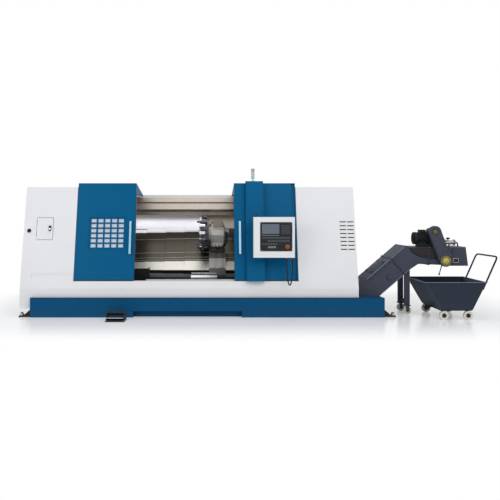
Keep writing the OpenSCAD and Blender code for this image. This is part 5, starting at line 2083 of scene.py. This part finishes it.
@dataclass
class Cart(Dressing):
    """The cart's rim bead, weld beads, handle clamps and wheel hubs.

    Attributes:
        bead: Radius of the rim bead.
        weld: Radius of a weld bead.
        corners: X and Z of the hopper's upper and lower corners at its left and right end.
        sides: Y of the hopper's front and back wall.
        lugs: Heights of the lower and the upper bolt in a handle lug.
    """

    bead: float = 6
    weld: float = 4
    corners: tuple[tuple[float, float, float, float], ...] = ((3400, 579, 3645, 162), (4341, 579, 4131, 162))
    sides: PAIR = (-1345, -525)
    lugs: PAIR = (498, 532)

    def rim_bead(self) -> None:
        """A round bead along the rim."""
        low, high = low_of("cart_hopper"), high_of("cart_hopper")
        flat = frame_path(low[0], high[0], low[1], high[1], 10)
        path = np.column_stack([flat[:, 0], flat[:, 2], np.full(len(flat), high[2] - 4)])
        piece("rim_bead", swept(ring_profile(self.bead, 10), path, (0, 0, 1), True), Body.ROOT,
              self.finishes.rim)

    def weld_beads(self) -> None:
        """Welds down the four corners, whose width ripples as a sine along the seam."""
        beads = []
        for x_top, z_top, x_low, z_low in self.corners:
            for y in self.sides:
                share = np.linspace(0, 1, 70)[:, None]
                path = np.array([x_top, y, z_top]) + share * np.array([x_low - x_top, 0, z_low - z_top])
                ripple = np.sin(np.arange(70) * 2.2)[:, None] * np.array([0.0, 0.8, 0.0])
                beads.append(swept(ring_profile(self.weld, 8), path + ripple, (0, 1, 0)))
        piece("corner_welds", joined(beads), Body.ROOT, self.finishes.navy)

    def handle_clamps(self) -> None:
        """A bolt through each handle lug."""
        low, high = low_of("cart_handle"), high_of("cart_handle")
        heads = []
        for y, side in ((low[1] + 5, -1), (high[1] - 5, 1)):
            for z in self.lugs:
                bolt = hex_bolt(7, 5).moved(turn_about(0, -side * math.pi / 2), (0, 0, 0))
                heads.append(bolt.at((low[0] + 30 + (z - self.lugs[0]) * 0.45, y, z)))
        piece("handle_bolts", joined(heads), Body.ROOT, self.finishes.iron)

    def dress(self) -> None:
        """Adds the cart's pieces."""
        self.rim_bead()
        self.weld_beads()
        self.handle_clamps()
        for number, body in enumerate((Body.WHEEL_1, Body.WHEEL_2, Body.WHEEL_3, Body.WHEEL_4), 1):
            wheel_hub(f"cart_wheel_{number}", body, -1 if number < 3 else 1, 34, self.finishes.iron)


@dataclass
class Footing(Dressing):
    """Lock nuts on the levelling screws, and the pedal's ribs and screws.

    Attributes:
        stud_in: How far a levelling screw is from the foot's end.
        ribs: Number of ribs on the tread.
        fall: How far the tread falls for each metre towards the back.
    """

    stud_in: float = 35
    ribs: int = 6
    fall: float = 16.0 / 195.0

    def lock_nuts(self) -> None:
        """Two nuts and a washer on each levelling screw."""
        low, high = low_of("levelling_feet"), high_of("levelling_feet")
        washer = turned([(34, 22), (34, 25), (32, 26)], 32)
        nut = turned([(28, 0), (31, 2), (31, 15), (28, 17)], 6)
        stack = joined([washer, nut.at((0, 0, 26)), nut.at((0, 0, 44))])
        places = [(x, y, 0.0) for x in (low[0] + self.stud_in, high[0] - self.stud_in)
                  for y in (low[1] + 60, high[1] - 60)]
        piece("lock_nuts", joined([stack.at(place) for place in places]), Body.ROOT,
              self.finishes.steel)

    def base_shadow_strip(self) -> None:
        """A black rubber strip along the upper front edge of the base: painted shadow of the gap there."""
        low, high = low_of("base"), high_of("base")
        z, y = high[2], low[1]
        # a black strip on the base's top edge: painted shadow
        strip = rounded_block((low[0] + 4, y + 2, z - 2), (high[0] - 4, y + 26, z + 9), 2)
        piece("base_shadow_strip", strip, Body.ROOT, self.finishes.rubber)

    def pedal(self) -> None:
        """Ribs across the tread and screws in the pedal's base."""
        low, high = low_of("pedal_plate"), high_of("pedal_plate")
        x0, x1 = low[0] + 24, high[0] - 24
        rows = []
        for share in np.linspace(0.06, 0.72, self.ribs):
            y = low[1] + share * (high[1] - low[1])
            z = high[2] - (y - low[1]) * self.fall
            rows.append(drawn_along_x(ring_profile(3, 8) + np.array([y, z]), x0, x1))
        piece("tread_ribs", joined(rows), Body.PEDAL, self.finishes.rubber)
        base_low, base_high = low_of("pedal_base"), high_of("pedal_base")
        heads = [cap_screw(6, 5).at((x, base_low[1] + 16, 14)) for x in (base_low[0] + 20, base_high[0] - 20)]
        piece("pedal_screws", joined(heads), Body.ROOT, self.finishes.steel)

    def dress(self) -> None:
        """Adds the nuts and the pedal's pieces."""
        self.lock_nuts()
        self.base_shadow_strip()
        self.pedal()


@dataclass
class RearPanels(Dressing):
    """Bolts round the five rear panels, hoods on their louvres, and black sheets in them as painted shade.

    Attributes:
        count: Number of panels.
        inset: Half the gap between panels.
        louvres: Louvres in a row.
        pitch: Height from louvre to louvre.
        first: How far the first louvre is under the panel's upper edge.
        half: Half a hood's width.
        hood: How far a hood stands out, and comes down.
        edge: Distance of the bolts from a panel's edges.
    """

    count: int = 5
    inset: float = 60
    louvres: int = 10
    pitch: float = 44
    first: float = 130
    half: float = 184
    hood: PAIR = (9, 12)
    edge: float = 24

    def dress(self) -> None:
        """Adds the bolts and the louvre hoods."""
        low, high = low_of("rear_panels"), high_of("rear_panels")
        x0, x1 = low[0] - self.inset, high[0] + self.inset
        wide = (x1 - x0) / self.count
        z0, z1, back = low[2], high[2], high[1]
        faced = turn_about(0, -math.pi / 2)
        bolts, hoods, shade_sheets = [], [], []
        for i in range(self.count):
            left, right = x0 + i * wide + self.inset, x0 + (i + 1) * wide - self.inset
            rows = np.linspace(z0 + self.edge, z1 - self.edge, 5)
            places = [(x, z) for x in np.linspace(left + self.edge, right - self.edge, 3)
                      for z in (rows[0], rows[-1])]
            places += [(x, z) for x in (left + self.edge, right - self.edge) for z in rows[1:-1]]
            bolts += [hex_bolt(8, 6).moved(faced, (x, back, z)) for x, z in places]
            if i in (0, self.count - 1):
                middle = (left + right) / 2
                for j in range(self.louvres):
                    top = z1 - self.first - j * self.pitch
                    hoods.append(louvre_hood(back, top, self.hood, middle - self.half, middle + self.half))
                    # a black sheet in each louvre: painted shade
                    line = [(back - 7, top - 1), (back - 7, top - 19)]
                    shade_sheets.append(drawn_along_x(sheet_profile(line, 1), middle - self.half + 6,
                                               middle + self.half - 6))
        piece("rear_bolts", joined(bolts), Body.ROOT, self.finishes.steel)
        piece("rear_louvre_hoods", joined(hoods), Body.ROOT, self.finishes.white)
        piece("rear_louvre_painted_shade", joined(shade_sheets), Body.ROOT, self.finishes.iron, False)


@dataclass
class Studio:
    """The pale floor, the soft lamps and the camera.

    Attributes:
        eye: Where the camera stands, in metres.
        lens: Focal length on a 36 mm frame.
        shift: The camera's sideways and upward shift.
        floor_half: Half the floor's width in metres.
        ground: Middle and half size of the ground that the machine covers.
        fade_from: Distance from that ground where the floor starts to fade to white.
        fade_to: Distance where it is all white.
        least_fade: The white's share on that ground.
        lamps: Each soft lamp's name, place, aim, size and power.
    """

    eye: POINT = (0.027, -10.2, 1.640)
    lens: float = 40.95
    shift: PAIR = (0.082, -0.07)
    floor_half: float = 40.0
    ground: tuple[POINT, POINT] = ((0.77, -0.2, 0.0), (3.8, 1.3, 1.0))
    fade_from: float = 0.0
    fade_to: float = 1.5
    least_fade: float = 0.25
    lamps: tuple[tuple[str, POINT, POINT, float, float], ...] = (("key", (4.5, -8.0, 6.5), (0.0, 0.0, 1.0),
                                                                  5.0, 250.0), ("fill", (-6.0, -7.0, 4.0),
                                                                                (0.0, 0.0, 1.0), 5.0, 160.0),
                                                                 ("top", (0.0, -1.0, 8.0), (0.0, 0.0, 0.0),
                                                                  6.0, 160.0))

    def camera(self) -> None:
        """Adds the camera, looking level along +Y."""
        data = bpy.data.cameras.new("camera")
        data.lens = self.lens
        data.sensor_width = 36.0
        data.shift_x, data.shift_y = self.shift
        data.clip_end = 200.0
        seen = bpy.data.objects.new("camera", data)
        seen.location = self.eye
        seen.rotation_euler = (math.pi / 2, 0.0, 0.0)
        bpy.context.collection.objects.link(seen)
        bpy.context.scene.camera = seen

    def floor(self) -> None:
        """Adds the floor: pale to the light, and white to the eye but for the soft shadow on it.

        Distance = length of max(abs(place - middle) - half, 0), from the ground that the machine covers.
        """
        half = self.floor_half
        mesh = bpy.data.meshes.new("floor")
        mesh.from_pydata([(-half, -half, 0), (half, -half, 0), (half, half, 0), (-half, half, 0)], [],
                         [(0, 1, 2, 3)])
        made = bpy.data.objects.new("floor", mesh)
        bpy.context.collection.objects.link(made)
        shop = Shader("pale_floor")
        reach = shop.place
        for operation, other in (("SUBTRACT", self.ground[0]), ("ABSOLUTE", (0, 0, 0)),
                                 ("SUBTRACT", self.ground[1]), ("MAXIMUM", (0, 0, 0))):
            reach = shop.node("ShaderNodeVectorMath", {"operation": operation}, {0: reach, 1: other})
        far = shop.node("ShaderNodeVectorMath", {"operation": "LENGTH"}, {0: reach}, out="Value")
        fade = shop.node("ShaderNodeMapRange", {"interpolation_type": "SMOOTHSTEP"},
                         {"Value": far, "From Min": self.fade_from, "From Max": self.fade_to,
                          "To Min": self.least_fade})
        lit = shop.node("ShaderNodeBsdfPrincipled", inputs={"Base Color": (0.95, 0.96, 0.97, 1.0),
                                                            "Roughness": 0.2})
        white = shop.node("ShaderNodeEmission", inputs={"Color": (1.0, 1.0, 1.0, 1.0)})
        mixed = shop.node("ShaderNodeMixShader", inputs={0: fade * shop.seen(), 1: lit, 2: white})
        shop.node("ShaderNodeOutputMaterial", inputs={"Surface": mixed})
        made.data.materials.append(shop.material)

    def world(self) -> None:
        """Lights the room evenly, and shows white to the camera."""
        world = bpy.data.worlds.new("room")
        world.use_nodes = True
        bpy.context.scene.world = world
        shop = Shader("room", world)
        even, white = (shop.node("ShaderNodeBackground", inputs={"Color": colour, "Strength": strength})
                       for colour, strength in (((0.93, 0.95, 1.0, 1.0), 0.45), ((1.0, 1.0, 1.0, 1.0), 1.0)))
        mixed = shop.node("ShaderNodeMixShader", inputs={0: shop.seen(), 1: even, 2: white})
        shop.node("ShaderNodeOutputWorld", inputs={"Surface": mixed})

    def lamp(self, name: str, place: POINT, aim: POINT, size: float, power: float) -> None:
        """Adds a soft square lamp.

        Args:
            name: The lamp's name.
            place: Where it hangs.
            aim: The point that it faces.
            size: Its side in metres.
            power: Its power in watts.
        """
        data = bpy.data.lights.new(name, "AREA")
        data.size = size
        data.energy = power
        made = bpy.data.objects.new(name, data)
        made.location = place
        away = np.array(place) - np.array(aim)
        across = math.hypot(away[0], away[1])
        made.rotation_euler = (math.atan2(across, away[2]), 0.0, math.atan2(away[0], -away[1]))
        bpy.context.collection.objects.link(made)

    def dress(self) -> None:
        """Sets up the view, the floor, the room and the lamps."""
        bpy.context.scene.view_settings.view_transform = "Standard"
        self.camera()
        self.floor()
        self.world()
        for lamp in self.lamps:
            self.lamp(*lamp)
        LOG.info("studio set up")


def main() -> None:
    """Builds the studio and dresses the machine, piece by piece."""
    logging.basicConfig(level=logging.INFO, format="%(name)s: %(message)s")
    Studio().dress()
    finishes = Finishes()
    Painting(finishes).dress()
    PanelCable(finishes).dress()
    OperatorPanel(finishes).dress()
    Doors(finishes).dress()
    Post(finishes).dress()
    Cabinets(finishes).dress()
    WayCovers(finishes).dress()
    WorkLight(finishes).dress()
    Turret(finishes).dress()
    Trough(finishes).dress()
    Spindles(finishes).dress()
    Conveyor(finishes).dress()
    Cart(finishes).dress()
    Footing(finishes).dress()
    RearPanels(finishes).dress()


if __name__ == "__main__":
    main()
